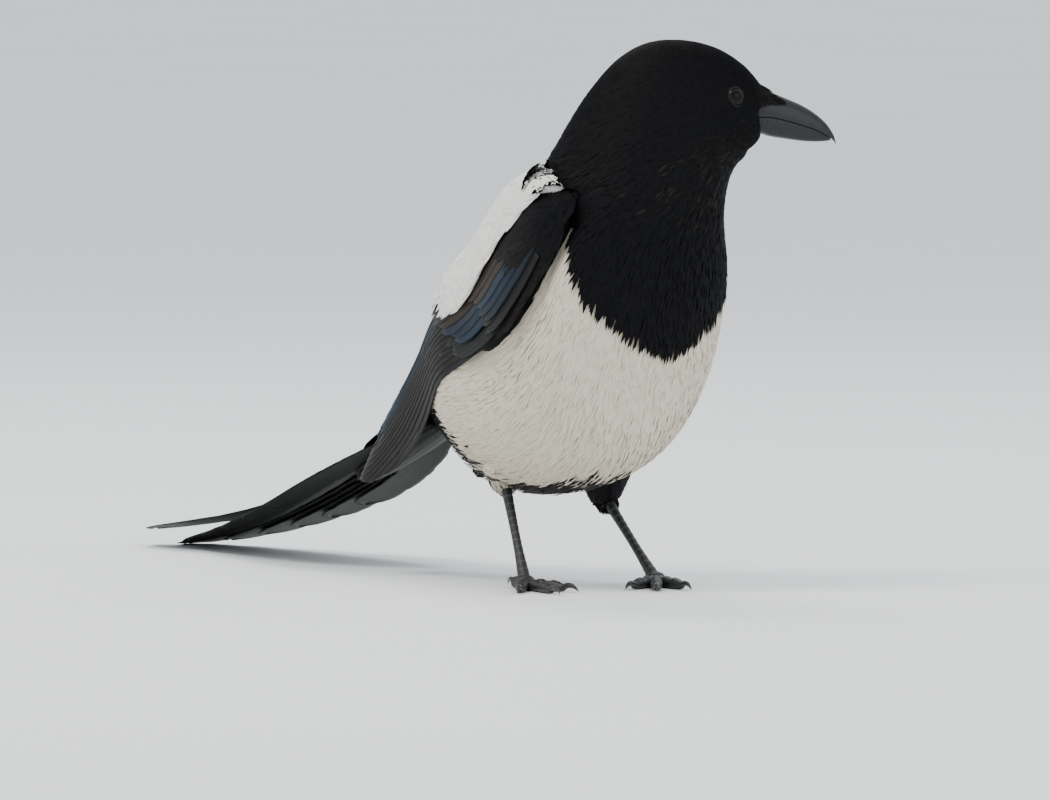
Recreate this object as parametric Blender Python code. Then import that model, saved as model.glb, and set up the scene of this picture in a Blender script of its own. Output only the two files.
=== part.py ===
"""A life-size Eurasian magpie that stands on both feet, with the tip of its long tail laid on the floor.

Metres, +Z up. The bird faces -Y and its left is +X. Its head is turned to its left, and it leans back a
little on a steep body, as it does when it looks about from a perch.
"""

import math

import bmesh
import bpy
import numpy as np
from mathutils import Matrix, Vector
from mathutils.bvhtree import BVHTree

GAP = 0.0003  # between two pieces that touch
SLACK = 0.0006  # between the body and a wing that lies on it
VANE = 0.0005  # thickness of a feather's vane

# The skin from the rump to the bill, as sections across the body. Each row has the top of the section and its
# underside (ahead of the neck's axis, height), its half width, the way it faces in degrees towards the bird's
# left, how far its widest level sinks below the middle, and how square its upper half is.
NECK_AXIS = (0.0, -0.012)
SECTIONS = (
    (-0.108, 0.083, -0.104, 0.068, 0.010, 0, 0.0, 0.0),
    (-0.096, 0.102, -0.084, 0.052, 0.026, 0, 0.0, 0.1),
    (-0.080, 0.120, -0.054, 0.041, 0.037, 0, 0.1, 0.15),
    (-0.057, 0.1405, -0.020, 0.040, 0.044, 0, 0.15, 0.2),
    (-0.037, 0.1560, 0.012, 0.053, 0.046, 0, 0.1, 0.25),
    (-0.020, 0.1655, 0.034, 0.082, 0.045, 0, 0.05, 0.25),
    (-0.015, 0.171, 0.0435, 0.112, 0.043, 4, 0.0, 0.25),
    (-0.016, 0.1755, 0.0463, 0.136, 0.039, 14, 0.0, 0.2),
    (-0.017, 0.181, 0.0472, 0.152, 0.034, 30, 0.0, 0.05),
    (-0.013, 0.190, 0.0482, 0.1635, 0.030, 46, 0.0, 0.0),
    (-0.006, 0.2005, 0.0510, 0.1698, 0.0268, 56, 0.05, 0.0),
    (0.004, 0.2115, 0.0543, 0.1728, 0.0240, 61, 0.1, 0.0),
    (0.016, 0.2182, 0.0562, 0.1757, 0.0212, 63, 0.12, 0.0),
    (0.030, 0.2193, 0.0584, 0.1775, 0.0192, 63, 0.12, 0.0),
    (0.0435, 0.2162, 0.0600, 0.1793, 0.0172, 63, 0.1, 0.0),
    (0.054, 0.2097, 0.0612, 0.1809, 0.0142, 63, 0.05, 0.0),
    (0.061, 0.2022, 0.0620, 0.1825, 0.0092, 63, 0.0, 0.0),
)
RUMP_END, NECK_START, HEAD_START, FACE = 1.6, 7.0, 10.0, 16.0
# Where the black bib ends: below, round the breast's side, and further forward at the flanks.
BIB_FRONT, BIB_SLOPE, BIB_RISE = 5.3, 0.3, 0.95
AROUND = 28  # facets round a section
HEAD_YAW = math.radians(SECTIONS[-1][5])
BED = 0.0070  # how deep a folded wing presses into the side of the body

# The bill, ahead of the neck's axis. Each row has its place, ridge, edge of the mouth and half width.
UPPER_BILL = (
    (0.0617, 0.2006, 0.18905, 0.0070),
    (0.0660, 0.1987, 0.18880, 0.0063),
    (0.0720, 0.1962, 0.18740, 0.0054),
    (0.0780, 0.1936, 0.18565, 0.0045),
    (0.0835, 0.1903, 0.18380, 0.0035),
    (0.0882, 0.1862, 0.18150, 0.0024),
    (0.0912, 0.1818, 0.17930, 0.0013),
    (0.0923, 0.1784, 0.17770, 0.0004),
)
LOWER_BILL = (
    (0.0617, 0.1820, 0.18865, 0.0064),
    (0.0660, 0.1808, 0.18840, 0.0057),
    (0.0720, 0.1799, 0.18700, 0.0048),
    (0.0780, 0.1791, 0.18525, 0.0038),
    (0.0835, 0.1788, 0.18340, 0.0028),
    (0.0880, 0.1790, 0.18110, 0.0017),
    (0.0900, 0.1793, 0.18010, 0.0007),
)
GAPE = (0.0570, 0.1889)  # the corner of the mouth
MOUTH_LINE = 0.0006

EYE_AHEAD, EYE_HEIGHT, EYE_RADIUS = 0.0492, 0.1976, 0.0046
EYE_SINK = 0.0032  # the eye's middle below the skin
LID_RADIUS, LID_ROLL, LID_RISE = 0.0042, 0.0008, 0.0027

# Edges of a folded wing's outer face, from the shoulder to the tip: from the middle, ahead and up.
WING_TOP = (
    (0.030, 0.030, 0.166),
    (0.027, 0.002, 0.1710),
    (0.022, -0.028, 0.1620),
    (0.018, -0.047, 0.1475),
    (0.015, -0.058, 0.1345),
    (0.015, -0.070, 0.1200),
    (0.016, -0.086, 0.105),
    (0.018, -0.104, 0.0845),
    (0.019, -0.119, 0.067),
    (0.021, -0.125, 0.056),
    (0.024, -0.1265, 0.044),
)
WING_BOTTOM = (
    (0.040, 0.039, 0.151),
    (0.043, 0.033, 0.139),
    (0.046, 0.021, 0.122),
    (0.047, 0.008, 0.108),
    (0.046, -0.0085, 0.0975),
    (0.043, -0.029, 0.091),
    (0.039, -0.050, 0.081),
    (0.034, -0.072, 0.057),
    (0.030, -0.100, 0.041),
    (0.028, -0.119, 0.033),
)
WING_SWELL = 0.009  # how far the middle of a folded wing stands out from a flat sheet between its edges
WING_DEPTH_TOP = (0.0105, 0.0040)  # of the wing's feathers, at the shoulder and at the tip, near its top edge
WING_DEPTH_BOTTOM = (0.0045, 0.0015)
CORE_END = 0.48  # where the flight feathers come out of the wing's smaller feathers
STACK = 0.0024
CORE_REACH = 0.013  # how far in the wing's core reaches for the body
# Where each flight feather ends, along and across the wing, from the innermost to the outermost.
FLIGHT_TIPS = (
    (0.66, 0.06), (0.73, 0.10), (0.79, 0.14), (0.84, 0.18), (0.87, 0.25), (0.89, 0.33),
    (0.92, 0.42), (0.955, 0.50), (0.99, 0.60), (0.98, 0.74), (0.91, 0.90),
)
# Rows of coverts: how many, where they start and end across the wing, root, tips, half width and height.
COVERT_ROWS = (
    (6, 0.12, 0.88, 0.31, (0.57, 0.54), 0.0064, (0.0014, 0.0024)),
    (4, 0.52, 0.92, 0.16, (0.42, 0.37), 0.0068, (0.0022, 0.0040)),
)
# Rows of white shoulder feathers: how many, root, tip and height above what they cover.
SCAPULAR_ROWS = ((4, 0.27, 0.50, 0.0003), (3, 0.17, 0.37, 0.0010), (2, 0.12, 0.25, 0.0017))
MANTLE_ALONG, BACK_ROWS = (0.02, 0.62), (7.6, 1.9)  # along the wings, along the back
# How far the mantle stands out, and how much more between the shoulders.
MANTLE_RISE, MANTLE_HUMP = 0.0040, 0.0025
# A vane's width from its root to its tip, as shares of its length and of its full half width.
VANE_STEPS = np.array([0.0, 0.3, 0.65, 0.93, 1.0])
VANE_WIDTHS = np.array([0.55, 0.95, 1.0, 0.62, 0.15])
COVERT_STEPS = np.array([0.0, 0.4, 0.8, 1.0])
COVERT_WIDTHS = np.array([0.7, 1.0, 0.8, 0.2])
# How far further out and back than its table a shoulder lies: the breast is turned to the left.
SHOULDER_SHIFT = {"right": (0.0, 0.0), "left": (0.003, -0.016)}
TAIL_LENGTHS = (0.245, 0.224, 0.200, 0.176, 0.152, 0.126)
TAIL_SPREAD = (0.001, 0.010, 0.0135, 0.0165, 0.019, 0.021)
TAIL_PITCH, TAIL_TIP_PITCH, TAIL_YAW = math.radians(27.8), math.radians(8.0), math.radians(5)
LAYER = 0.0009  # from one vane to the next under it
TAIL_STEPS = np.array([0.06, 0.22, 0.40, 0.60, 0.80, 0.945, 1.0])
TAIL_WIDTHS = np.array([0.35, 0.65, 0.9, 1.0, 0.97, 0.70, 0.2])
TOP_HALF, TAIL_HALF = 0.0125, 0.0092  # half widths of the middle pair's feathers and of the others
STRAY_ASIDE, STRAY_RISE = 0.013, 0.006  # how far one middle feather bends out to the bird's right, and up
# The root of the tail: how far back, half width, and how far it reaches over and under.
TAIL_ROOT = ((0.012, 0.0125, 0.0060, 0.0075), (0.030, 0.0130, 0.0036, 0.0064), (0.052, 0.0070, 0.0010, 0.0050))
# Coverts over and under the tail: how many, length, and heights of the root and the tip.
TAIL_COVERTS = ((5, 0.078, 0.0028, 0.0012), (4, 0.084, -0.0085, -0.0062))

ANKLE = {"right": (-0.0165, 0.037, 0.045), "left": (0.0315, 0.034, 0.034)}
BALL = {"right": (-0.026, 0.008), "left": (0.0275, -0.007)}
FOOT_HEADING = {"right": math.radians(13), "left": math.radians(35)}  # from straight ahead to the bird's right
BALL_HEIGHT = 0.0026
THIGH_RADII = {"right": (0.0150, 0.0135, 0.0072, 0.0030), "left": (0.0150, 0.0125, 0.0058, 0.0030)}
THIGH_LOBE = {"right": 0.0085, "left": 0.006}  # how far below the ankle joint the leg's feathers reach
# Toes, from inside to outside, then the hind toe: turn from the foot's heading, length, claw's length.
TOES = ((26, 0.020, 0.0085), (0, 0.027, 0.0095), (-28, 0.021, 0.0085), (172, 0.018, 0.0115))

BLACK = (0.012, 0.012, 0.015)
WHITE = (0.80, 0.78, 0.73)
COLOURS = {
    "feather_black": (BLACK, 0.55),
    "feather_white": (WHITE, 0.8),
    "feather_blue": ((0.012, 0.025, 0.05), 0.4),
    "bill": ((0.02, 0.02, 0.022), 0.3),
    "eye": ((0.006, 0.004, 0.003), 0.05),
    "leg": ((0.03, 0.03, 0.032), 0.6),
}


def spline(table, at):
    """A smooth curve through a table's rows, read where whole numbers are its rows."""
    rows = np.asarray(table, float)
    last = len(rows) - 1
    at = np.clip(np.asarray(at, float), 0, last)
    i = np.minimum(at.astype(int), last - 1)
    u = (at - i)[..., None]
    a, b, c, d = rows[np.maximum(i - 1, 0)], rows[i], rows[i + 1], rows[np.minimum(i + 2, last)]
    return 0.5 * (2 * b + (c - a) * u + (2 * a - 5 * b + 4 * c - d) * u**2 + (3 * b - a - 3 * c + d) * u**3)


def ramp(value, start, end):
    """Grows smoothly from 0 to 1 between start and end."""
    u = np.clip((np.asarray(value, float) - start) / (end - start), 0, 1)
    return u * u * (3 - 2 * u)


def between(start, end, share):
    return start + (end - start) * share


def unit(vectors):
    return vectors / np.linalg.norm(vectors, axis=-1, keepdims=True)


def turned(ahead, left, height, yaw):
    """Points given ahead of the neck's axis and to the left of it, on a heading yaw."""
    x = NECK_AXIS[0] + ahead * np.sin(yaw) + left * np.cos(yaw)
    y = NECK_AXIS[1] - ahead * np.cos(yaw) + left * np.sin(yaw)
    return np.stack([x, y, height + 0 * x], -1)


def skin(at, angle):
    """Points of the body's skin. The angle is 0 along the back and pi along the belly, and grows to the left."""
    at, angle = np.broadcast_arrays(np.asarray(at, float), np.asarray(angle, float))
    row = spline(SECTIONS, at)
    side = np.abs((angle + math.pi) % (2 * math.pi) - math.pi)
    bed = BED * ramp(at, 2.2, 3.4) * (1 - ramp(at, 6.4, 7.4)) * ramp(side, 0.3, 0.7) * (1 - ramp(side, 1.6, 2.0))
    reach = 1 - bed / row[..., 4]
    up = np.cos(angle)
    square = 1 + row[..., 7] * np.sin(angle) ** 2 * (up > 0)
    rise = (up * square - row[..., 6] * np.sin(angle) ** 2) * reach
    ahead = (row[..., 0] + row[..., 2]) / 2 + (row[..., 0] - row[..., 2]) / 2 * rise
    height = (row[..., 1] + row[..., 3]) / 2 + (row[..., 1] - row[..., 3]) / 2 * rise
    return turned(ahead, row[..., 4] * np.sin(angle) * reach, height, np.radians(row[..., 5]))


def skin_normal(at, angle):
    step = 1e-3
    along = skin(np.asarray(at) + step, angle) - skin(np.asarray(at) - step, angle)
    across = skin(at, np.asarray(angle) + step) - skin(at, np.asarray(angle) - step)
    return unit(np.cross(along, across))


def section_normal(at):
    """The direction towards the head, square to the section."""
    ring = skin(at, np.array([0, math.pi / 2, math.pi, -math.pi / 2]))
    return unit(np.cross(ring[1] - ring[3], ring[0] - ring[2]))


def mesh_object(name, points, faces):
    mesh = bpy.data.meshes.new(name)
    mesh.from_pydata([tuple(p) for p in points], [], [tuple(f) for f in faces])
    obj = bpy.data.objects.new(name, mesh)
    bpy.context.scene.collection.objects.link(obj)
    bm = bmesh.new()
    bm.from_mesh(mesh)
    bmesh.ops.recalc_face_normals(bm, faces=bm.faces)
    if bm.calc_volume(signed=True) < 0:
        bmesh.ops.reverse_faces(bm, faces=bm.faces)
    bm.to_mesh(mesh)
    bm.free()
    return obj


def loft(name, rings):
    """A closed solid through rings of as many points each, with a fan over each end."""
    rings = [np.asarray(r) for r in rings]
    n, last_ring = len(rings[0]), (len(rings) - 1) * len(rings[0])
    points = np.concatenate(rings + [rings[0].mean(0)[None], rings[-1].mean(0)[None]])
    first, last = len(rings) * n, len(rings) * n + 1
    faces = []
    for i in range(n):
        j = (i + 1) % n
        for k in range(0, last_ring, n):
            faces += [(k + i, k + j, k + n + j), (k + i, k + n + j, k + n + i)]
        faces += [(j, i, first), (last_ring + i, last_ring + j, last)]
    return mesh_object(name, points, faces)


def slab(name, low, high):
    """A closed sheet between two grids of points, split into triangles alike on both faces."""
    rows, columns = low.shape[:2]
    count = rows * columns
    index = np.arange(count).reshape(rows, columns)
    faces = []
    for i in range(rows - 1):
        for j in range(columns - 1):
            a, b, c, d = index[i, j], index[i + 1, j], index[i + 1, j + 1], index[i, j + 1]
            for face in ((a, b, c), (a, c, d)):
                faces += [face, tuple(v + count for v in reversed(face))]
    rim = list(index[:-1, 0]) + list(index[-1, :-1]) + list(index[:0:-1, -1]) + list(index[0, :0:-1])
    for a, b in zip(rim, rim[1:] + rim[:1]):
        faces += [(a, b, b + count), (a, b + count, a + count)]
    return mesh_object(name, np.concatenate([low.reshape(-1, 3), high.reshape(-1, 3)]), faces)


def tube(name, centres, radii, sides=7, floor=None):
    """A solid of round rings along a path, cut flat at the floor if one is given."""
    centres = np.asarray(centres, float)
    along = unit(np.gradient(centres, axis=0))
    up = np.array([0, 0, 1.0]) if abs(along[:, 2]).max() < 0.95 else np.array([0, 1.0, 0])
    across = unit(np.cross(along, up))
    other = np.cross(across, along)
    angle = (np.arange(sides) + 0.5) * 2 * math.pi / sides
    rings = []
    for centre, a, b, radius in zip(centres, across, other, radii):
        ring = centre + radius * (np.cos(angle)[:, None] * a + np.sin(angle)[:, None] * b)
        if floor is not None:
            ring[:, 2] = np.maximum(ring[:, 2], floor)
        rings.append(ring)
    return loft(name, rings)


def bake(obj):
    """Applies the object's modifiers and its place."""
    bpy.context.view_layer.update()
    graph = bpy.context.evaluated_depsgraph_get()
    mesh = bpy.data.meshes.new_from_object(obj.evaluated_get(graph))
    mesh.transform(obj.matrix_world)
    obj.modifiers.clear()
    obj.matrix_world = Matrix.Identity(4)
    obj.data = mesh


def keep_largest(obj):
    """Keeps the largest closed surface, which drops scraps and fills sealed hollows."""
    bm = bmesh.new()
    bm.from_mesh(obj.data)
    bmesh.ops.triangulate(bm, faces=bm.faces, quad_method="SHORT_EDGE", ngon_method="EAR_CLIP")
    left, groups = set(bm.verts), []
    while left:
        group = [left.pop()]
        for vertex in group:
            for edge in vertex.link_edges:
                other = edge.other_vert(vertex)
                if other in left:
                    left.remove(other)
                    group.append(other)
        groups.append(group)
    spans = [np.ptp([v.co for v in group], axis=0).sum() for group in groups]
    for group, span in zip(groups, spans):
        if span < max(spans):
            bmesh.ops.delete(bm, geom=group, context="VERTS")
    bm.to_mesh(obj.data)
    bm.free()


def boolean(obj, others, operation):
    """Joins obj with the others, or cuts them out of it, in one go."""
    group = bpy.data.collections.new("cutters")
    bpy.context.scene.collection.children.link(group)
    for other in others:
        for home in list(other.users_collection):
            home.objects.unlink(other)
        group.objects.link(other)
    change = obj.modifiers.new("join", "BOOLEAN")
    change.operand_type = "COLLECTION"
    change.collection = group
    change.operation = operation
    change.solver = "MANIFOLD"
    bake(obj)
    for other in others:
        bpy.data.objects.remove(other)
    bpy.data.collections.remove(group)
    keep_largest(obj)
    return obj


def finish(obj, name, finish_name, colour=None):
    """Names the object and gives it its own material."""
    base, roughness = COLOURS[finish_name]
    obj.name = obj.data.name = name
    material = bpy.data.materials.new(name)
    material.use_nodes = True
    shader = material.node_tree.nodes["Principled BSDF"]
    shader.inputs["Base Color"].default_value = (*(colour or base), 1)
    shader.inputs["Roughness"].default_value = roughness
    shader.inputs["Metallic"].default_value = 0
    obj.data.materials.clear()
    obj.data.materials.append(material)
    return obj


def skin_rings(start, end, steps, out=0.0):
    """Rings of the body between two places, each a number or a function of the angle."""
    angle = np.arange(AROUND) * 2 * math.pi / AROUND
    begin = start(angle) if callable(start) else start + 0 * angle
    finish_at = end(angle) if callable(end) else end + 0 * angle
    rings = []
    for k in range(steps + 1):
        at = begin + (finish_at - begin) * k / steps
        rings.append(skin(at, angle) + skin_normal(at, angle) * out)
    rings[0] = rings[0] + section_normal(float(begin.mean())) * GAP / 2
    rings[-1] = rings[-1] - section_normal(float(finish_at.mean())) * GAP / 2
    return rings


def bib_edge(angle):
    """Where the black bib ends round the body: lowest on the breast, and high at the flanks, by the wings."""
    side = np.abs((angle + math.pi) % (2 * math.pi) - math.pi)
    back = ramp(side, 0.0, 1.4)
    return BIB_FRONT + back * (BIB_SLOPE * ramp(side, math.pi, 2.3) + BIB_RISE * ramp(side, 2.3, 1.4))


def make_trunk():
    finish(loft("rump", skin_rings(0.0, RUMP_END, 4)), "rump", "feather_white")
    finish(loft("torso", skin_rings(RUMP_END, bib_edge, 12)), "torso", "feather_white")
    finish(loft("breast", skin_rings(bib_edge, NECK_START, 4)), "breast", "feather_black")
    finish(loft("neck", skin_rings(NECK_START, HEAD_START, 6)), "neck", "feather_black")


def on_head(ahead, height, side):
    """The point of the head's skin at a place seen from its side, and the normal there."""
    at, angle = np.meshgrid(np.linspace(HEAD_START, FACE, 241), np.linspace(0.3, 2.9, 181), indexing="ij")
    points = skin(at, angle * side)
    wanted = turned(ahead, 0, height, HEAD_YAW)
    heading = np.array([math.sin(HEAD_YAW), -math.cos(HEAD_YAW), 0])
    miss = np.abs((points - wanted) @ heading) + np.abs(points[..., 2] - height)
    i, j = np.unravel_index(miss.argmin(), miss.shape)
    return points[i, j], skin_normal(at[i, j], angle[i, j] * side)


def bill_ring(row):
    """One section of the bill: an arch from the edge of the mouth to the ridge, closed by a flat side."""
    ahead, ridge, edge, half = row
    angle = np.linspace(0, math.pi, 9)
    left = np.append(half * np.cos(angle), 0)
    height = np.append(edge + (ridge - edge) * np.sin(angle) ** 0.8, edge)
    return turned(ahead + 0 * left, left, height, HEAD_YAW)


def bill_side(ahead, angle, out):
    """A point outside the upper bill, for the bristles that lie along it."""
    at = (np.asarray(ahead) - UPPER_BILL[0][0]) / (UPPER_BILL[2][0] - UPPER_BILL[0][0]) * 2
    row = spline(UPPER_BILL, at)
    early = np.minimum(at, 0) * (UPPER_BILL[2][0] - UPPER_BILL[0][0]) / 2
    half, rise = row[..., 3] - early * 0.25 + out, row[..., 1] - row[..., 2] - early * 0.25 + out
    left, height = half * np.sin(angle), row[..., 2] + rise * np.cos(angle)
    return turned(np.asarray(ahead, float), left, height, HEAD_YAW)


def make_head():
    head = loft("head", skin_rings(HEAD_START, FACE, 14))
    lids, holes = [], []
    for name, side in (("eye_left", 1), ("eye_right", -1)):
        point, normal = on_head(EYE_AHEAD, EYE_HEIGHT, side)
        middle = Vector(point - normal * EYE_SINK)
        facing = Vector(normal).to_track_quat("Z", "Y")
        for radius in (EYE_RADIUS, EYE_RADIUS + GAP):
            bpy.ops.mesh.primitive_uv_sphere_add(segments=16, ring_count=9, radius=radius, location=middle)
            ball = bpy.context.object
            ball.rotation_mode = "QUATERNION"
            ball.rotation_quaternion = facing
            bake(ball)
            if radius == EYE_RADIUS:
                ball.data.shade_smooth()
                finish(ball, name, "eye")
            else:
                holes.append(ball)
        bpy.ops.mesh.primitive_torus_add(
            major_radius=LID_RADIUS, minor_radius=LID_ROLL, major_segments=14, minor_segments=5,
            location=middle + Vector(normal) * LID_RISE, rotation=facing.to_euler())
        bake(bpy.context.object)
        lids.append(bpy.context.object)
    bristles = []
    for side in (1, -1):
        for k in range(4):
            angle = side * (0.25 + 0.38 * k)
            ahead = np.array([0.0560, 0.0630, 0.0690, 0.0735 - 0.0012 * k])
            width = np.array([0.0016, 0.0015, 0.0010, 0.0003])
            bristles.append(lock("bristle", ahead, angle + side * 0.05 * np.arange(4), width, 0.0005))
    boolean(head, lids + bristles, "UNION")
    bpy.ops.mesh.primitive_cube_add(size=1)
    mouth = bpy.context.object
    corner = turned(GAPE[0] + 0.005, 0, GAPE[1], HEAD_YAW)
    mouth.matrix_world = (
        Matrix.Translation(Vector(corner)) @ Matrix.Rotation(HEAD_YAW, 4, "Z")
        @ Matrix.Diagonal((0.04, 0.010, MOUTH_LINE, 1)))
    bake(mouth)
    for name, table in (("upper_bill", UPPER_BILL), ("lower_bill", LOWER_BILL)):
        finish(loft(name, [bill_ring(row) for row in table]), name, "bill")
        outward = np.sign(table[0][1] - table[0][2])
        wider = np.array(table) + np.array([0, outward, -outward, 1]) * GAP
        wider[0, 0] -= GAP
        holes.append(loft("socket", [bill_ring(row) for row in wider]))
    boolean(head, holes + [mouth], "DIFFERENCE")
    finish(head, "head", "feather_black")


def lock(name, ahead, angle, width, out):
    """A flat tapered lock along the side of the bill."""
    low, high = [], []
    for u in (-1, 0, 1):
        turn = angle + u * width / 0.008
        rise = out + 0.0004 * (1 - u * u)
        low.append(bill_side(ahead, turn, rise))
        high.append(bill_side(ahead, turn, rise + VANE + 0.0003))
    return slab(name, np.stack(low, 1), np.stack(high, 1))


def trunk_surface():
    """The body's skin as one closed surface, to lay the wings on."""
    obj = loft("guide", skin_rings(0.0, FACE, 48))
    bm = bmesh.new()
    bm.from_mesh(obj.data)
    tree = BVHTree.FromBMesh(bm)
    bm.free()
    bpy.data.objects.remove(obj)
    return tree


def clear_of(tree, points, distance):
    """Moves points outwards until they are as far from the surface as asked."""
    flat = points.reshape(-1, 3)
    for k, point in enumerate(flat):
        near, normal, _, _ = tree.find_nearest(Vector(point))
        depth = (Vector(point) - near).dot(normal)
        if (Vector(point) - near).length < distance or depth < 0:
            flat[k] = near + normal * distance
    return flat.reshape(points.shape)


def surface(points, side):
    """Makes a grid of points into a function of two places from 0 to 1 and a height above the surface."""
    rows, columns = points.shape[:2]
    normals = unit(np.cross(np.gradient(points, axis=0), np.gradient(points, axis=1)) * -side)

    def place(along, across, height):
        along, across, height = np.broadcast_arrays(along, across, height)
        a, b = along * (rows - 1), across * (columns - 1)
        i = np.clip(a.astype(int), 0, rows - 2)
        j = np.clip(b.astype(int), 0, columns - 2)
        u, v = (a - i)[..., None], (b - j)[..., None]

        def mix(grid):
            near = grid[i, j] * (1 - u) + grid[i + 1, j] * u
            return near * (1 - v) + (grid[i, j + 1] * (1 - u) + grid[i + 1, j + 1] * u) * v

        return mix(points) + unit(mix(normals)) * height[..., None]

    return place


def depth_to_body(tree, points, inward):
    """How far inward each point can move and stay clear of the body. It is 0 where the body is far away."""
    depth = np.zeros(points.shape[:-1])
    for spot in np.ndindex(depth.shape):
        away = tree.ray_cast(Vector(points[spot]), Vector(inward[spot]), CORE_REACH)[3]
        if away is not None:
            depth[spot] = max(away - SLACK, 0) * (1 - ramp(away, CORE_REACH / 2, CORE_REACH))
    return depth


def wing_surface(tree, name):
    """The surface that the flight feathers of a folded wing lie on, from its shoulder to its tip and from its
    top edge down. It is clear of the body."""
    side = 1 if name == "left" else -1
    along = np.linspace(0, 1, 41)[:, None]
    across = np.linspace(0, 1, 17)[None, :]
    top = spline(WING_TOP, along[:, 0] * (len(WING_TOP) - 1))[:, None]
    bottom = spline(WING_BOTTOM, along[:, 0] * (len(WING_BOTTOM) - 1))[:, None]
    points = between(top, bottom, across[..., None])
    points[..., :2] += (1 - ramp(along, 0.0, 0.4))[..., None] * SHOULDER_SHIFT[name]
    points = points * np.array([side, -1, 1])
    swell = np.array([side * 0.85, 0.25, 0.45]) * WING_SWELL
    points = points + 4 * (across * (1 - across) * (1 - 0.6 * along))[..., None] * swell
    normals = unit(np.cross(np.gradient(points, axis=0), np.gradient(points, axis=1)) * -side)
    depth = between(between(*WING_DEPTH_TOP, along), between(*WING_DEPTH_BOTTOM, along), across)
    points = points - normals * depth[..., None]
    for _ in range(4):
        points = clear_of(tree, points, SLACK)
        points[1:-1] = 0.5 * points[1:-1] + 0.25 * (points[2:] + points[:-2])
        points[:, 1:-1] = 0.5 * points[:, 1:-1] + 0.25 * (points[:, 2:] + points[:, :-2])
    return surface(clear_of(tree, points, SLACK), side)


def vane(place, along, across, width, low, lean=0.0015, crown=0.0, columns=(-1, 0, 1)):
    """A feather's vane on a surface. It lies along a path, and its edge further across stands higher by lean."""
    centre = place(along, across, 0 * along)
    step = 1e-3
    grow_a = (place(along + step, across, 0 * along) - centre) / step
    grow_b = (place(along, across + step, 0 * along) - centre) / step
    forward = unit(np.gradient(centre, axis=0))
    normal = unit(np.cross(grow_a, grow_b))
    sideways = np.cross(normal, forward)
    sideways *= np.sign((sideways * grow_b).sum(-1))[:, None]
    aa, ab, bb = (grow_a**2).sum(-1), (grow_a * grow_b).sum(-1), (grow_b**2).sum(-1)
    sa, sb = (sideways * grow_a).sum(-1), (sideways * grow_b).sum(-1)
    det = aa * bb - ab * ab
    move_a, move_b = (sa * bb - sb * ab) / det, (sb * aa - sa * ab) / det
    below, above = [], []
    for u in columns:
        spot = (along + move_a * width * u, across + move_b * width * u)
        rise = low + lean * (u + 1) / 2 + crown * (1 - u * u)
        below.append(place(*spot, rise))
        above.append(place(*spot, rise + VANE))
    return slab("vane", np.stack(below, 1), np.stack(above, 1))


def stack(across):
    """How high the flight feathers lie: the inner ones, near the wing's top edge, lie over the outer ones."""
    return 0.0003 + STACK * (1 - across)


def height_over(obj, place):
    """How high an object stands above a wing's surface, as a function of the place."""
    bm = bmesh.new()
    bm.from_mesh(obj.data)
    tree = BVHTree.FromBMesh(bm)
    bm.free()
    first, last, reach = np.array([0.06, 0.06]), np.array([0.66, 0.70]), 0.03
    along, across = np.meshgrid(*[np.linspace(a, b, 61) for a, b in zip(first, last)], indexing="ij")
    start, end = place(along, across, reach + 0 * along), place(along, across, 0 * along)
    height = np.zeros(along.shape)
    for spot in np.ndindex(height.shape):
        away = tree.ray_cast(Vector(start[spot]), Vector(end[spot] - start[spot]), reach)[3]
        height[spot] = 0 if away is None else reach - away
    for _ in range(3):
        for axis in (0, 1):
            height = np.maximum(height, np.maximum(np.roll(height, 1, axis), np.roll(height, -1, axis)))

    def read(along, across):
        i = np.clip((along - first[0]) / (last[0] - first[0]) * 60, 0, 59.99)
        j = np.clip((across - first[1]) / (last[1] - first[1]) * 60, 0, 59.99)
        a, b = i.astype(int), j.astype(int)
        near = between(height[a, b], height[a + 1, b], i - a)
        return between(near, between(height[a, b + 1], height[a + 1, b + 1], i - a), j - b)

    return read


def wing_core(tree, place, grow=0.0):
    """The wing's arm and hand with their small feathers, which hug the body, and in which the feathers root."""
    edge = grow * 15  # as a share of the wing's length
    along = np.linspace(-edge, CORE_END + edge, 10)
    along, across = np.meshgrid(along, np.linspace(0.02 - edge, 0.98 + edge, 8), indexing="ij")
    low = place(along, across, 0 * along)
    inward = unit(low - place(along, across, 0.001 + 0 * along))
    low = low + inward * (depth_to_body(tree, low, inward) + grow)[..., None]
    swell = 0.0015 * (1 - ramp(along, 0.20, CORE_END)) * (1 - ramp(across, 0.75, 1.0))
    rise = stack(across) * 0.9 + 0.0006 + swell + grow
    high = place(along, across, rise)
    front = (0.12 + 0.88 * ramp(along, 0.0, 0.15)) * (1 - 0.6 * ramp(across, 0.8, 1.0))
    return slab("core", low, between(low, high, front[..., None]))


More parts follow.
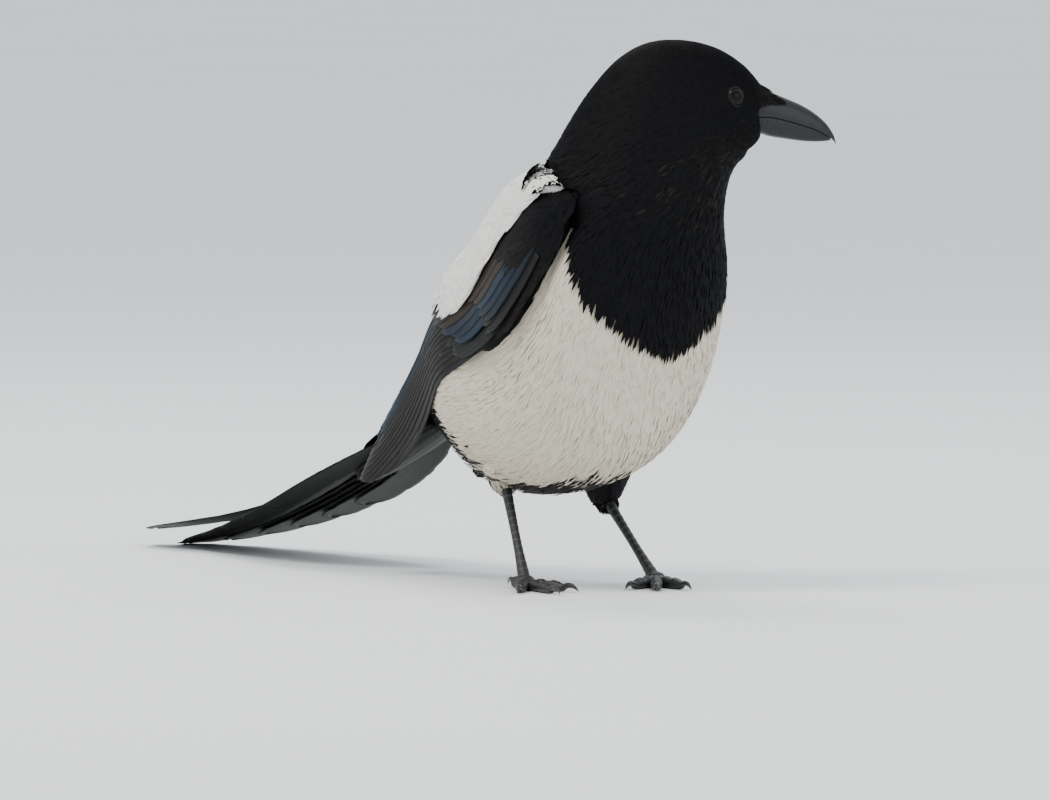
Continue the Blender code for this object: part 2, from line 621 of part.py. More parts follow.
def make_wing(tree, name):
    """A folded wing with its flight feathers in a fan and two rows of coverts over them."""
    side = 1 if name == "left" else -1
    place = wing_surface(tree, name)
    vanes = []
    for k, (tip_along, tip_across) in enumerate(FLIGHT_TIPS):
        share = k / (len(FLIGHT_TIPS) - 1)
        along = between(CORE_END - 0.06, tip_along, VANE_STEPS)
        across = between(between(0.10, 0.92, share), tip_across, VANE_STEPS**1.2)
        half = between(0.0078, 0.0052, share) * VANE_WIDTHS
        vanes.append(vane(place, along, across, half, stack(share) + 0 * along, columns=(-1, 1)))
    for count, start, end, root, tips, half, lift in COVERT_ROWS:
        for k in range(count):
            share = k / (count - 1)
            along = between(root, between(*tips, share), COVERT_STEPS)
            across = between(start, end, share) + 0.02 * COVERT_STEPS
            low = stack(across) + between(*lift, ramp(COVERT_STEPS, 0, 0.8))
            vanes.append(vane(place, along, across, half * COVERT_WIDTHS, low, lean=0.0010, columns=(-1, 1)))
    wing = boolean(wing_core(tree, place), vanes, "UNION")
    boolean(wing, [loft("skin", skin_rings(0.0, FACE, 48, out=2.5 * GAP))], "DIFFERENCE")
    finish(wing, "wing_" + name, "feather_blue")

    along, across = np.meshgrid(np.linspace(0.02, 0.36, 7), np.linspace(0.0, 0.46, 6), indexing="ij")
    over = height_over(wing, place)

    def floor_at(along, across):
        return over(along, across) + 2.0 * GAP

    floor = floor_at(along, across)
    dome = ramp(along, -0.05, 0.10) * (1 - ramp(along, 0.2, 0.40)) * (1 - ramp(across, 0.3, 0.56))
    body = slab("body", place(along, across, floor), place(along, across, floor + 0.0007 + 0.0015 * dome))
    vanes = []
    for count, root, tip, lift in SCAPULAR_ROWS:
        for k in range(count):
            share = (k + 0.5) / count
            along = between(root, tip - 0.05 * abs(share - 0.5), COVERT_STEPS)
            across = between(0.03, 0.43, share) + 0.02 * COVERT_STEPS
            low = floor_at(along, across) + lift
            vanes.append(vane(place, along, across, 0.0062 * COVERT_WIDTHS, low, lean=0.0009, columns=(-1, 1)))
    scapulars = boolean(body, vanes, "UNION")
    skin_cutter = loft("skin", skin_rings(0.0, FACE, 48, out=GAP))
    boolean(scapulars, [skin_cutter, wing_core(tree, place, grow=GAP)], "DIFFERENCE")
    finish(scapulars, "scapulars_" + name, "feather_white")
    return place


def make_mantle(tree, places):
    """The black feathers of the back, which fill the hollow between the wings."""
    left, right = places
    along = np.linspace(*MANTLE_ALONG, 10)
    columns = np.linspace(-1, 1, 9)
    edge_left = left(along, -0.04 + 0 * along, 0.0025 + 0 * along)
    edge_right = right(along, -0.04 + 0 * along, 0.0025 + 0 * along)
    back = np.linspace(*BACK_ROWS, len(along))
    rise = MANTLE_RISE + MANTLE_HUMP * ramp(back, 4.5, 6.0) * (1 - ramp(back, 6.4, 7.6))
    ridge = skin(back, 0 * back) + skin_normal(back, 0 * back) * rise[:, None]
    rows = []
    for a, b, top in zip(edge_right, edge_left, ridge):
        bend = 2 * top - (a + b) / 2
        share = ((columns + 1) / 2)[:, None]
        rows.append(a * (1 - share) ** 2 + bend * 2 * share * (1 - share) + b * share**2)
    cape = np.array(rows)
    normals = unit(np.cross(np.gradient(cape, axis=0), np.gradient(cape, axis=1)))
    if normals[:, :, 2].mean() < 0:
        normals = -normals
    thin = (0.15 + 0.85 * np.sin(math.pi * np.linspace(0.03, 0.97, len(along)))) ** 0.6
    mantle = slab("mantle", cape - normals * 0.014 * thin[:, None, None], cape)
    cutters = [loft("skin", skin_rings(0.0, FACE, 48, out=1.5 * GAP))]
    for place in places:
        cutters.append(wing_core(tree, place, grow=2 * GAP))
        along, across = np.meshgrid(np.linspace(-0.08, 0.80, 12), np.linspace(-0.10, 0.80, 9), indexing="ij")
        cutters.append(slab("over", place(along, across, 0 * along), place(along, across, 0.016 + 0 * along)))
    finish(boolean(mantle, cutters, "DIFFERENCE"), "mantle", "feather_black")


def make_tail():
    """Twelve tail feathers, the middle pair on top, whose roots sink into the feathers over and under them."""
    last_ring = skin_rings(0.0, 1.0, 2)[0]
    start = last_ring.mean(0)
    count = 64
    length = TAIL_LENGTHS[0] + 0.004
    distance = np.linspace(0, length, count)
    pitch = TAIL_PITCH + (TAIL_TIP_PITCH - TAIL_PITCH) * distance / length
    step = distance[1]
    back = np.concatenate([[0], np.cumsum(np.cos(pitch[1:]) * step)])
    drop = np.concatenate([[0], np.cumsum(np.sin(pitch[1:]) * step)])
    heading = np.array([math.sin(TAIL_YAW), math.cos(TAIL_YAW), 0])
    sideways = np.array([math.cos(TAIL_YAW), -math.sin(TAIL_YAW), 0])
    line = start + back[:, None] * heading - drop[:, None] * np.array([0, 0, 1])
    width = 0.05 * np.array([-1, 0, 1])
    points = line[:, None] + width[None, :, None] * sideways
    flat = surface(points, 1)

    def place(along, across, height):
        return flat(np.asarray(along) / length, 0.5 + np.asarray(across) / 0.1, height)

    angle = np.arange(AROUND) * 2 * math.pi / AROUND
    base = [last_ring - section_normal(0.0) * GAP]
    for along, half, top, under in TAIL_ROOT:
        rise = np.where(np.cos(angle) > 0, top, under) * np.cos(angle) - 0.0015
        base.append(place(along + 0 * angle, half * np.sin(angle), rise))
    root = loft("root", base)
    vanes = []
    for k, (reach, spread) in enumerate(zip(TAIL_LENGTHS, TAIL_SPREAD)):
        for side in (-1, 1):
            along = reach * TAIL_STEPS
            across = side * spread * (0.25 + 0.75 * ramp(along, 0.0, 0.10))
            low = -LAYER * (k + (k > 0 or side > 0)) + 0 * along
            if k == 0 and side < 0:
                across = across - STRAY_ASIDE * ramp(along, 0.12, 0.245)
                low = low + STRAY_RISE * ramp(along, 0.12, 0.245)
            half = (TAIL_HALF if k else TOP_HALF) * TAIL_WIDTHS
            piece = vane(place, along, across, half, low, lean=0.0, crown=0.0001)
            for vertex in piece.data.vertices:
                vertex.co.z = max(vertex.co.z, 0.0)
            vanes.append(piece)
    for count, length, root_low, tip_low in TAIL_COVERTS:
        for share in np.linspace(-1, 1, count):
            along = between(0.018, length - 0.008 * share * share, COVERT_STEPS)
            across = 0.0085 * share * (0.7 + 0.3 * COVERT_STEPS)
            low = between(root_low, tip_low, COVERT_STEPS) + 0.0006 * (1 - share * share)
            vanes.append(vane(place, along, across, 0.0068 * COVERT_WIDTHS, low, lean=0.0004, columns=(-1, 1)))
    return finish(boolean(root, vanes, "UNION"), "tail", "feather_black")


def make_leg(name, belly_skin):
    ankle, ball = np.array(ANKLE[name]), np.array([*BALL[name], BALL_HEIGHT])
    side = 1 if name == "left" else -1
    down = unit(ball - ankle)
    hip = np.array([side * 0.021, 0.010, 0.070])
    lobe_end = ankle + down * THIGH_LOBE[name]
    middle = (hip + ankle) / 2 + np.array([0, 0.004, 0])
    thigh = tube("thigh", [hip, middle, ankle, lobe_end], THIGH_RADII[name], sides=14)
    boolean(thigh, [belly_skin], "DIFFERENCE")
    finish(thigh, "thigh_" + name, "feather_black" if side > 0 else "feather_white")
    shin_top = lobe_end + down * GAP
    collar = ball - down * 0.0062
    shin = tube("tarsus", [shin_top, between(shin_top, collar, 0.5), collar - down * GAP],
                (0.0019, 0.0017, 0.0020))
    finish(shin, "tarsus_" + name, "leg")
    toes = [tube("collar", [collar, ball - down * 0.002, ball], (0.0020, 0.0024, 0.0030), floor=0.0)]
    for number, (turn, reach, claw) in enumerate(TOES):
        heading = -math.pi / 2 - FOOT_HEADING[name] - side * math.radians(turn)
        forward = np.array([math.cos(heading), math.sin(heading), 0])
        share = np.array([0.0, 0.28, 0.42, 0.60, 0.78, 1.0])
        height = np.array([0.0026, 0.0021, 0.0022, 0.0020, 0.0021, 0.0017])
        radii = np.array([0.0030, 0.0022, 0.0025, 0.0020, 0.0023, 0.0014])
        centres = np.array([*BALL[name], 0]) + forward * share[:, None] * reach
        centres[:, 2] = height
        toes.append(tube("toe", centres, radii, floor=0.0))
        hook = np.array([0.0, 0.05, 0.30, 0.60, 0.85, 1.0])
        centres = centres[-1] + forward * (GAP + 0.0001 + hook[:, None] * claw)
        centres[:, 2] = np.array([0.0017, 0.0017, 0.0026, 0.0026, 0.0017, 0.0007])
        radii = np.array([0.0012, 0.0012, 0.0011, 0.0009, 0.0005, 0.00015])
        nail = tube("claw", centres, radii, sides=6)
        finish(nail, f"claw_{name}_{number + 1}", "bill")
    bpy.ops.mesh.primitive_uv_sphere_add(segments=12, ring_count=7, location=ball)
    pad = bpy.context.object
    pad.scale = (0.0042, 0.0042, 0.0036)
    bake(pad)
    for vertex in pad.data.vertices:
        vertex.co.z = max(vertex.co.z, 0.0)
    foot = boolean(pad, toes, "UNION")
    finish(foot, "foot_" + name, "leg")


def stand():
    """Puts every piece in the bird's collection and under one empty, with the middle of the bird's box over the
    origin."""
    home = bpy.data.collections.new("eurasian_magpie")
    bpy.context.scene.collection.children.link(home)
    pieces = list(bpy.data.objects)
    corners = np.concatenate([[vertex.co[:2] for vertex in piece.data.vertices] for piece in pieces])
    middle = (corners.min(0) + corners.max(0)) / 2
    root = bpy.data.objects.new("magpie", None)
    home.objects.link(root)
    root.location = (-middle[0], -middle[1], 0)
    for piece in pieces:
        for other in list(piece.users_collection):
            other.objects.unlink(piece)
        home.objects.link(piece)
        piece.parent = root
    bpy.context.view_layer.update()


def main():
    for obj in list(bpy.data.objects):
        bpy.data.objects.remove(obj)
    make_trunk()
    make_head()
    tree = trunk_surface()
    places = []
    for name in ("left", "right"):
        places.append(make_wing(tree, name))
        make_leg(name, loft("belly_skin", skin_rings(0.0, NECK_START, 24, out=GAP)))
    make_mantle(tree, places)
    make_tail()
    stand()


main()
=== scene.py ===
import math

import bpy
import numpy as np
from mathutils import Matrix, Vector
from mathutils.bvhtree import BVHTree


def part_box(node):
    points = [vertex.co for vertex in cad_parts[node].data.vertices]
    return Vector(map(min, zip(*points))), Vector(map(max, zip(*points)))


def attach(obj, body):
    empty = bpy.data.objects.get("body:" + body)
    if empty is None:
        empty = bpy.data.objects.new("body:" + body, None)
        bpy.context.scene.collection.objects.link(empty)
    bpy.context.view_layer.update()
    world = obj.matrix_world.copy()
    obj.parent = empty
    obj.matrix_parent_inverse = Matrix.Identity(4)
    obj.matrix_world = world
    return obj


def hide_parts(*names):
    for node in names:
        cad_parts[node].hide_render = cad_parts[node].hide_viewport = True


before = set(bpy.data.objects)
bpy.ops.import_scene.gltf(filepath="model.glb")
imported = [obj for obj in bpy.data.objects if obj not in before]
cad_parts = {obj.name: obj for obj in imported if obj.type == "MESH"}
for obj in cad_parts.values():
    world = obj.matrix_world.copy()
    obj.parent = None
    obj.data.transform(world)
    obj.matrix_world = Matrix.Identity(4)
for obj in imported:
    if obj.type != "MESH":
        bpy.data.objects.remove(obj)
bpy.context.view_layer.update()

# The same named sizes as in the part: the bird's sections, its bill, eyes, wings, tail and legs, in metres.
NECK_AXIS = (0.0, -0.012)
# Sections across the body: the top's place (ahead, height), the underside's, half width, heading in degrees,
# how far the widest place sinks, and how square the back is.
SECTIONS = (
    (-0.108, 0.083, -0.104, 0.068, 0.010, 0, 0.0, 0.0),
    (-0.096, 0.102, -0.084, 0.052, 0.026, 0, 0.0, 0.1),
    (-0.080, 0.120, -0.054, 0.041, 0.037, 0, 0.1, 0.15),
    (-0.057, 0.1405, -0.020, 0.040, 0.044, 0, 0.15, 0.2),
    (-0.037, 0.1560, 0.012, 0.053, 0.046, 0, 0.1, 0.25),
    (-0.020, 0.1655, 0.034, 0.082, 0.045, 0, 0.05, 0.25),
    (-0.015, 0.171, 0.0435, 0.112, 0.043, 4, 0.0, 0.25),
    (-0.016, 0.1755, 0.0463, 0.136, 0.039, 14, 0.0, 0.2),
    (-0.017, 0.181, 0.0472, 0.152, 0.034, 30, 0.0, 0.05),
    (-0.013, 0.190, 0.0482, 0.1635, 0.030, 46, 0.0, 0.0),
    (-0.006, 0.2005, 0.0510, 0.1698, 0.0268, 56, 0.05, 0.0),
    (0.004, 0.2115, 0.0543, 0.1728, 0.0240, 61, 0.1, 0.0),
    (0.016, 0.2182, 0.0562, 0.1757, 0.0212, 63, 0.12, 0.0),
    (0.030, 0.2193, 0.0584, 0.1775, 0.0192, 63, 0.12, 0.0),
    (0.0435, 0.2162, 0.0600, 0.1793, 0.0172, 63, 0.1, 0.0),
    (0.054, 0.2097, 0.0612, 0.1809, 0.0142, 63, 0.05, 0.0),
    (0.061, 0.2022, 0.0620, 0.1825, 0.0092, 63, 0.0, 0.0),
)
HEAD_START, FACE = 10.0, 16.0
BIB_FRONT, BIB_SLOPE, BIB_RISE = 5.3, 0.3, 0.95
AROUND = 28
HEAD_YAW = math.radians(SECTIONS[-1][5])
HEAD_WAY = np.array([math.sin(HEAD_YAW), -math.cos(HEAD_YAW), 0])  # the way that the bill points
SIDES = {"left": 1, "right": -1}
BED = 0.0070  # how deep the wings lie in the body's sides
# Along each half of the bill: ahead, the height of its ridge and of the mouth's edge, and half width.
UPPER_BILL = (
    (0.0617, 0.2006, 0.18905, 0.0070),
    (0.0660, 0.1987, 0.18880, 0.0063),
    (0.0720, 0.1962, 0.18740, 0.0054),
    (0.0780, 0.1936, 0.18565, 0.0045),
    (0.0835, 0.1903, 0.18380, 0.0035),
    (0.0882, 0.1862, 0.18150, 0.0024),
    (0.0912, 0.1818, 0.17930, 0.0013),
    (0.0923, 0.1784, 0.17770, 0.0004),
)
LOWER_BILL = (
    (0.0617, 0.1820, 0.18865, 0.0064),
    (0.0660, 0.1808, 0.18840, 0.0057),
    (0.0720, 0.1799, 0.18700, 0.0048),
    (0.0780, 0.1791, 0.18525, 0.0038),
    (0.0835, 0.1788, 0.18340, 0.0028),
    (0.0880, 0.1790, 0.18110, 0.0017),
    (0.0900, 0.1793, 0.18010, 0.0007),
)
EYE_AHEAD, EYE_HEIGHT, EYE_RADIUS, EYE_SINK = 0.0492, 0.1976, 0.0046, 0.0032
# The edges of a folded wing, from its shoulder to its tip: aside, ahead and height.
WING_TOP = (
    (0.030, 0.030, 0.166), (0.027, 0.002, 0.1710), (0.022, -0.028, 0.1620), (0.018, -0.047, 0.1475),
    (0.015, -0.058, 0.1345), (0.015, -0.070, 0.1200), (0.016, -0.086, 0.105), (0.018, -0.104, 0.0845),
    (0.019, -0.119, 0.067), (0.021, -0.125, 0.056), (0.024, -0.1265, 0.044),
)
WING_BOTTOM = (
    (0.040, 0.039, 0.151), (0.043, 0.033, 0.139), (0.046, 0.021, 0.122), (0.047, 0.008, 0.108),
    (0.046, -0.0085, 0.0975), (0.043, -0.029, 0.091), (0.039, -0.050, 0.081), (0.034, -0.072, 0.057),
    (0.030, -0.100, 0.041), (0.028, -0.119, 0.033),
)
WING_SWELL = 0.009
WING_DEPTH_TOP = (0.0105, 0.0040)
WING_DEPTH_BOTTOM = (0.0045, 0.0015)
CORE_END = 0.48  # how far along the wing its arm reaches
STACK = 0.0024  # how much higher the inner flight feathers lie
# Where the tips of the flight feathers are along and across the wing, from the inner ones outwards.
FLIGHT_TIPS = (
    (0.66, 0.06), (0.73, 0.10), (0.79, 0.14), (0.84, 0.18), (0.87, 0.25), (0.89, 0.33),
    (0.92, 0.42), (0.955, 0.50), (0.99, 0.60), (0.98, 0.74), (0.91, 0.90),
)
MANTLE_ALONG, BACK_ROWS = (0.02, 0.62), (7.6, 1.9)
MANTLE_RISE, MANTLE_HUMP = 0.0040, 0.0025
SHOULDER_SHIFT = {"right": (0.0, 0.0), "left": (0.003, -0.016)}
TAIL_LENGTHS = (0.245, 0.224, 0.200, 0.176, 0.152, 0.126)
TAIL_SPREAD = (0.001, 0.010, 0.0135, 0.0165, 0.019, 0.021)
TAIL_PITCH, TAIL_TIP_PITCH, TAIL_YAW = math.radians(27.8), math.radians(8.0), math.radians(5)
LAYER = 0.0009  # from one tail feather down to the next
# Coverts over and under the tail: how many, length, height of the root and of the tip, half width.
TAIL_COVERTS = (
    (9, 0.070, 0.0046, 0.0018, 0.0052), (8, 0.054, 0.0062, 0.0034, 0.0048),
    (9, 0.084, -0.0092, -0.0066, 0.0054), (8, 0.062, -0.0104, -0.0078, 0.0050),
)
TOP_HALF, TAIL_HALF = 0.0125, 0.0092
STRAY_ASIDE, STRAY_RISE = 0.013, 0.006
# Along the tail's root: how far back, half width, and how far it rises and sinks.
TAIL_ROOT = (
    (0.012, 0.0125, 0.0060, 0.0075), (0.030, 0.0130, 0.0036, 0.0064), (0.052, 0.0070, 0.0010, 0.0050),
)
ANKLE = {"right": (-0.0165, 0.037, 0.045), "left": (0.0315, 0.034, 0.034)}
BALL = {"right": (-0.026, 0.008), "left": (0.0275, -0.007)}
FOOT_HEADING = {"right": math.radians(13), "left": math.radians(35)}
BALL_HEIGHT = 0.0026
THIGH_RADII = {"right": (0.0150, 0.0135, 0.0072, 0.0030), "left": (0.0150, 0.0125, 0.0058, 0.0030)}
THIGH_LOBE = {"right": 0.0085, "left": 0.006}
# Each toe: its turn in degrees, the reach to its claw, and the claw's length.
TOES = ((26, 0.020, 0.0085), (0, 0.027, 0.0095), (-28, 0.021, 0.0085), (172, 0.018, 0.0115))
SLACK = 0.0006  # between the wing's surface and the body

COAT_DEPTH = 0.0016  # how far the skin lies inside the solids on the body
FACE_DEPTH = 0.0008  # and on the face
CAPE_DEPTH = 0.010  # how deep the back between the wings reaches into the body
SEED = 24


def spline(table, at):
    """A smooth curve through a table's rows, read where whole numbers are its rows."""
    rows = np.asarray(table, float)
    last = len(rows) - 1
    at = np.clip(np.asarray(at, float), 0, last)
    i = np.minimum(at.astype(int), last - 1)
    u = (at - i)[..., None]
    a, b, c, d = rows[np.maximum(i - 1, 0)], rows[i], rows[i + 1], rows[np.minimum(i + 2, last)]
    return 0.5 * (2 * b + (c - a) * u + (2 * a - 5 * b + 4 * c - d) * u**2 + (3 * b - a - 3 * c + d) * u**3)


def ramp(value, start, end):
    """Grows smoothly from 0 to 1 between start and end."""
    u = np.clip((np.asarray(value, float) - start) / (end - start), 0, 1)
    return u * u * (3 - 2 * u)


def between(start, end, share):
    """The value at a share of the way from start to end."""
    return start + (end - start) * share


def unit(vectors):
    """Vectors of length 1."""
    return vectors / np.maximum(np.linalg.norm(vectors, axis=-1, keepdims=True), 1e-12)


def turns(count):
    """Angles evenly round a circle."""
    return np.arange(count) * 2 * math.pi / count


def grid_of(rows, columns):
    """Two grids of places: one grows from row to row and the other across the columns."""
    return np.meshgrid(rows, columns, indexing="ij")


def turned(ahead, left, height, yaw):
    """Points given ahead of the neck's axis and to the left of it, on a heading yaw."""
    x = NECK_AXIS[0] + ahead * np.sin(yaw) + left * np.cos(yaw)
    y = NECK_AXIS[1] - ahead * np.cos(yaw) + left * np.sin(yaw)
    return np.stack([x, y, height + 0 * x], -1)


def from_back(angle):
    """How far an angle round the body is from the middle of the back, from 0 to pi."""
    return np.abs((angle + math.pi) % (2 * math.pi) - math.pi)


def skin(at, angle):
    """Points of the solids' skin. The angle is 0 along the back and pi along the belly."""
    at, angle = np.broadcast_arrays(np.asarray(at, float), np.asarray(angle, float))
    row = spline(SECTIONS, at)
    side = from_back(angle)
    bed = BED * ramp(at, 2.2, 3.4) * (1 - ramp(at, 6.4, 7.4))
    bed = bed * ramp(side, 0.3, 0.7) * (1 - ramp(side, 1.6, 2.0))
    reach = 1 - bed / row[..., 4]
    up = np.cos(angle)
    square = 1 + row[..., 7] * np.sin(angle) ** 2 * (up > 0)
    rise = (up * square - row[..., 6] * np.sin(angle) ** 2) * reach
    ahead = (row[..., 0] + row[..., 2]) / 2 + (row[..., 0] - row[..., 2]) / 2 * rise
    height = (row[..., 1] + row[..., 3]) / 2 + (row[..., 1] - row[..., 3]) / 2 * rise
    return turned(ahead, row[..., 4] * np.sin(angle) * reach, height, np.radians(row[..., 5]))


def slopes(face, a, b):
    """How a surface runs along each of its two places."""
    step = 1e-3
    along = (face(a + step, b) - face(a - step, b)) / (2 * step)
    return along, (face(a, b + step) - face(a, b - step)) / (2 * step)


def normal_of(face, a, b, outward=1):
    """A surface's normals at its places."""
    along, across = slopes(face, a, b)
    return unit(np.cross(along, across)) * outward


def steps_for(heading, along, across):
    """How far a surface's two places move for a metre on a heading, when they run along and across."""
    aa, ab, bb = (along**2).sum(-1), (along * across).sum(-1), (across**2).sum(-1)
    ha, hb = (heading * along).sum(-1), (heading * across).sum(-1)
    det = np.maximum(aa * bb - ab * ab, 1e-16)
    return (ha * bb - hb * ab) / det, (hb * aa - ha * ab) / det


def on_head(ahead, height, side):
    """The point of the head's skin at a place seen from its side, and the normal there."""
    at, angle = grid_of(np.linspace(HEAD_START, FACE, 241), np.linspace(0.3, 2.9, 181))
    points = skin(at, angle * side)
    wanted = turned(ahead, 0, height, HEAD_YAW)
    miss = np.abs((points - wanted) @ HEAD_WAY) + np.abs(points[..., 2] - height)
    i, j = np.unravel_index(miss.argmin(), miss.shape)
    return points[i, j], normal_of(skin, at[i, j], angle[i, j] * side)


def eye_places():
    """The middle of each eye and the way it looks."""
    places = {}
    for name, side in SIDES.items():
        point, normal = on_head(EYE_AHEAD, EYE_HEIGHT, side)
        places[name] = (point - normal * EYE_SINK, normal)
    return places


EYES = eye_places()


def frame_shift():
    """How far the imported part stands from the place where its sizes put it."""
    moves = []
    for name, (middle, _) in EYES.items():
        low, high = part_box("eye_" + name)
        moves.append((np.array(low) + np.array(high)) / 2 - middle)
    return np.mean(moves, axis=0)


SHIFT = frame_shift()


def build(name, points, faces, values=None, uv=None, normals=None):
    """A smooth mesh object from arrays of points and triangles, with a number or three at each point."""
    points = np.asarray(points, float) + SHIFT
    faces = np.asarray(faces)
    mesh = bpy.data.meshes.new(name)
    mesh.vertices.add(len(points))
    mesh.vertices.foreach_set("co", points.astype(np.float32).ravel())
    mesh.loops.add(faces.size)
    mesh.loops.foreach_set("vertex_index", faces.astype(np.int32).ravel())
    mesh.polygons.add(len(faces))
    mesh.polygons.foreach_set("loop_start", np.arange(0, faces.size, 3, dtype=np.int32))
    mesh.update(calc_edges=True)
    mesh.polygons.foreach_set("use_smooth", np.ones(len(faces), bool))
    for key, value in (values or {}).items():
        kind, field = ("FLOAT", "value") if np.ndim(value) == 1 else ("FLOAT_VECTOR", "vector")
        layer = mesh.attributes.new(key, kind, "POINT")
        layer.data.foreach_set(field, np.asarray(value, np.float32).ravel())
    if uv is not None:
        layer = mesh.uv_layers.new(name="OFBake")
        layer.data.foreach_set("uv", np.asarray(uv, np.float32)[faces.ravel()].ravel())
    mesh.validate()
    if normals is not None:
        mesh.normals_split_custom_set_from_vertices(np.asarray(normals, np.float32).tolist())
    obj = bpy.data.objects.new(name, mesh)
    bpy.context.scene.collection.objects.link(obj)
    return obj


def dress(obj, material, replaced=()):
    """Gives a piece its material and its place in the frame."""
    obj.data.materials.append(material)
    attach(obj, "root")
    if replaced:
        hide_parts(*replaced)


def joined(parts):
    """Several meshes as one: each is points, faces and a dict of values at the points."""
    points, faces, values, start = [], [], {}, 0
    for part in parts:
        points.append(part[0])
        faces.append(part[1] + start)
        start += len(part[0])
        for key, value in part[2].items():
            values.setdefault(key, []).append(value)
    values = {key: np.concatenate(value) for key, value in values.items()}
    return np.concatenate(points), np.concatenate(faces), values


def grid_faces(rows, columns, wrap=False):
    """Triangles over a grid of points, which closes on itself across if wrap is set."""
    last = columns if wrap else columns - 1
    i, j = grid_of(np.arange(rows - 1), np.arange(last))
    k = (j + 1) % columns
    a, b, c, d = i * columns + j, (i + 1) * columns + j, (i + 1) * columns + k, i * columns + k
    return np.stack([np.stack([a, b, c], -1), np.stack([a, c, d], -1)], 2).reshape(-1, 3)


def loft(rings):
    """A closed surface through rings of as many points each, with a fan over each end."""
    rings = np.asarray(rings)
    rows, n = rings.shape[:2]
    points = np.concatenate([rings.reshape(-1, 3), rings[0].mean(0)[None], rings[-1].mean(0)[None]])
    faces = grid_faces(rows, n, wrap=True)
    i = np.arange(n)
    j = (i + 1) % n
    first, last, end = rows * n, rows * n + 1, (rows - 1) * n
    front = np.stack([j, i, 0 * i + first], -1)
    back = np.stack([end + i, end + j, 0 * i + last], -1)
    return points, facing_out(points, np.concatenate([faces, front, back]))


def facing_out(points, faces):
    """The faces of a closed form, turned over where they face inwards."""
    a, b, c = points[faces[:, 0]], points[faces[:, 1]], points[faces[:, 2]]
    volume = (a * np.cross(b, c)).sum()
    return faces if volume > 0 else faces[:, ::-1]


def sheet(low, high):
    """A closed sheet between two grids of points, as points and faces."""
    rows, columns = low.shape[:2]
    count = rows * columns
    faces = grid_faces(rows, columns)
    index = np.arange(count).reshape(rows, columns)
    rim = np.concatenate([index[:-1, 0], index[-1, :-1], index[:0:-1, -1], index[0, :0:-1]])
    after = np.roll(rim, -1)
    upper = np.stack([rim, after + count, after], -1)
    lower = np.stack([rim, rim + count, after + count], -1)
    sides = np.concatenate([upper, lower])
    points = np.concatenate([low.reshape(-1, 3), high.reshape(-1, 3)])
    faces = np.concatenate([faces, faces[:, ::-1] + count, sides])
    centre = points.mean(0)
    return points, facing_out(points - centre, faces)


# Materials.

def shader(name, base, roughness):
    """A material with the principled shader, and its node tree."""
    material = bpy.data.materials.new(name)
    material.use_nodes = True
    tree = material.node_tree
    node = tree.nodes["Principled BSDF"]
    node.inputs["Base Color"].default_value = (*base, 1)
    node.inputs["Roughness"].default_value = roughness
    return material, tree, node


def attribute(tree, name):
    """A node that reads a value from the points of the mesh."""
    node = tree.nodes.new("ShaderNodeAttribute")
    node.attribute_name = name
    return node


def sums(tree, operation, first, second=None):
    """A math node between sockets or numbers."""
    node = tree.nodes.new("ShaderNodeMath")
    node.operation = operation
    for socket, value in zip(node.inputs, (first, second)):
        if value is None:
            continue
        if isinstance(value, (int, float)):
            socket.default_value = value
        else:
            tree.links.new(value, socket)
    return node.outputs[0]


def shades(tree, factor, stops):
    """A colour ramp over a factor: pairs of a position and a colour."""
    node = tree.nodes.new("ShaderNodeValToRGB")
    ends = node.color_ramp.elements
    while len(ends) < len(stops):
        ends.new(0.5)
    for end, (position, colour) in zip(ends, stops):
        end.position = position
        end.color = (*colour, 1)
    tree.links.new(factor, node.inputs[0])
    return node.outputs[0]


def blend(tree, factor, first, second):
    """A mix of two colours."""
    node = tree.nodes.new("ShaderNodeMix")
    node.data_type = "RGBA"
    for key, kind, value in (("Factor", "VALUE", factor), ("A", "RGBA", first), ("B", "RGBA", second)):
        socket = [s for s in node.inputs if s.name == key and s.type == kind][0]
        if isinstance(value, tuple):
            socket.default_value = (*value, 1)
        else:
            tree.links.new(value, socket)
    return [s for s in node.outputs if s.type == "RGBA"][0]


def noise(tree, scale, detail=3.0, vector=None):
    """Noise over the piece's own space, or over a vector."""
    node = tree.nodes.new("ShaderNodeTexNoise")
    node.inputs["Scale"].default_value = scale
    node.inputs["Detail"].default_value = detail
    if vector is None:
        vector = tree.nodes.new("ShaderNodeTexCoord").outputs["Object"]
    tree.links.new(vector, node.inputs["Vector"])
    return node.outputs["Fac"]


def bump(tree, node, height, strength, distance):
    """Fine relief on a shader."""
    bumper = tree.nodes.new("ShaderNodeBump")
    bumper.inputs["Strength"].default_value = strength
    bumper.inputs["Distance"].default_value = distance
    tree.links.new(height, bumper.inputs["Height"])
    tree.links.new(bumper.outputs["Normal"], node.inputs["Normal"])


def coat_material(name, deep, pale, wash, roughness, specular):
    """Small feathers: each tuft has its own tone, its root is darker as painted shade, and a tint colours some
    places.
    """
    material, tree, node = shader(name, pale, roughness)
    node.inputs["Specular IOR Level"].default_value = specular
    tone = attribute(tree, "tone").outputs["Fac"]
    share = attribute(tree, "share").outputs["Fac"]
    tint_and_glint_amount = attribute(tree, "wash").outputs["Fac"]
    grain = noise(tree, 900.0)
    mixed = sums(tree, "ADD", sums(tree, "MULTIPLY", tone, 0.5), sums(tree, "MULTIPLY", grain, 0.25))
    # Painted shade: the share along each tuft makes its root darker and its tip paler, where the tufts
    # overlap.
    mixed = sums(tree, "ADD", mixed, sums(tree, "MULTIPLY", share, 0.3))
    colour = shades(tree, mixed, ((0.15, deep), (0.75, pale)))
    # The tint mixes in a plumage colour, and on some throat tufts it makes painted glints.
    colour = blend(tree, tint_and_glint_amount, colour, wash)
    tree.links.new(colour, node.inputs["Base Color"])
    bump(tree, node, noise(tree, 2600.0), 0.25, 0.0002)
    return material


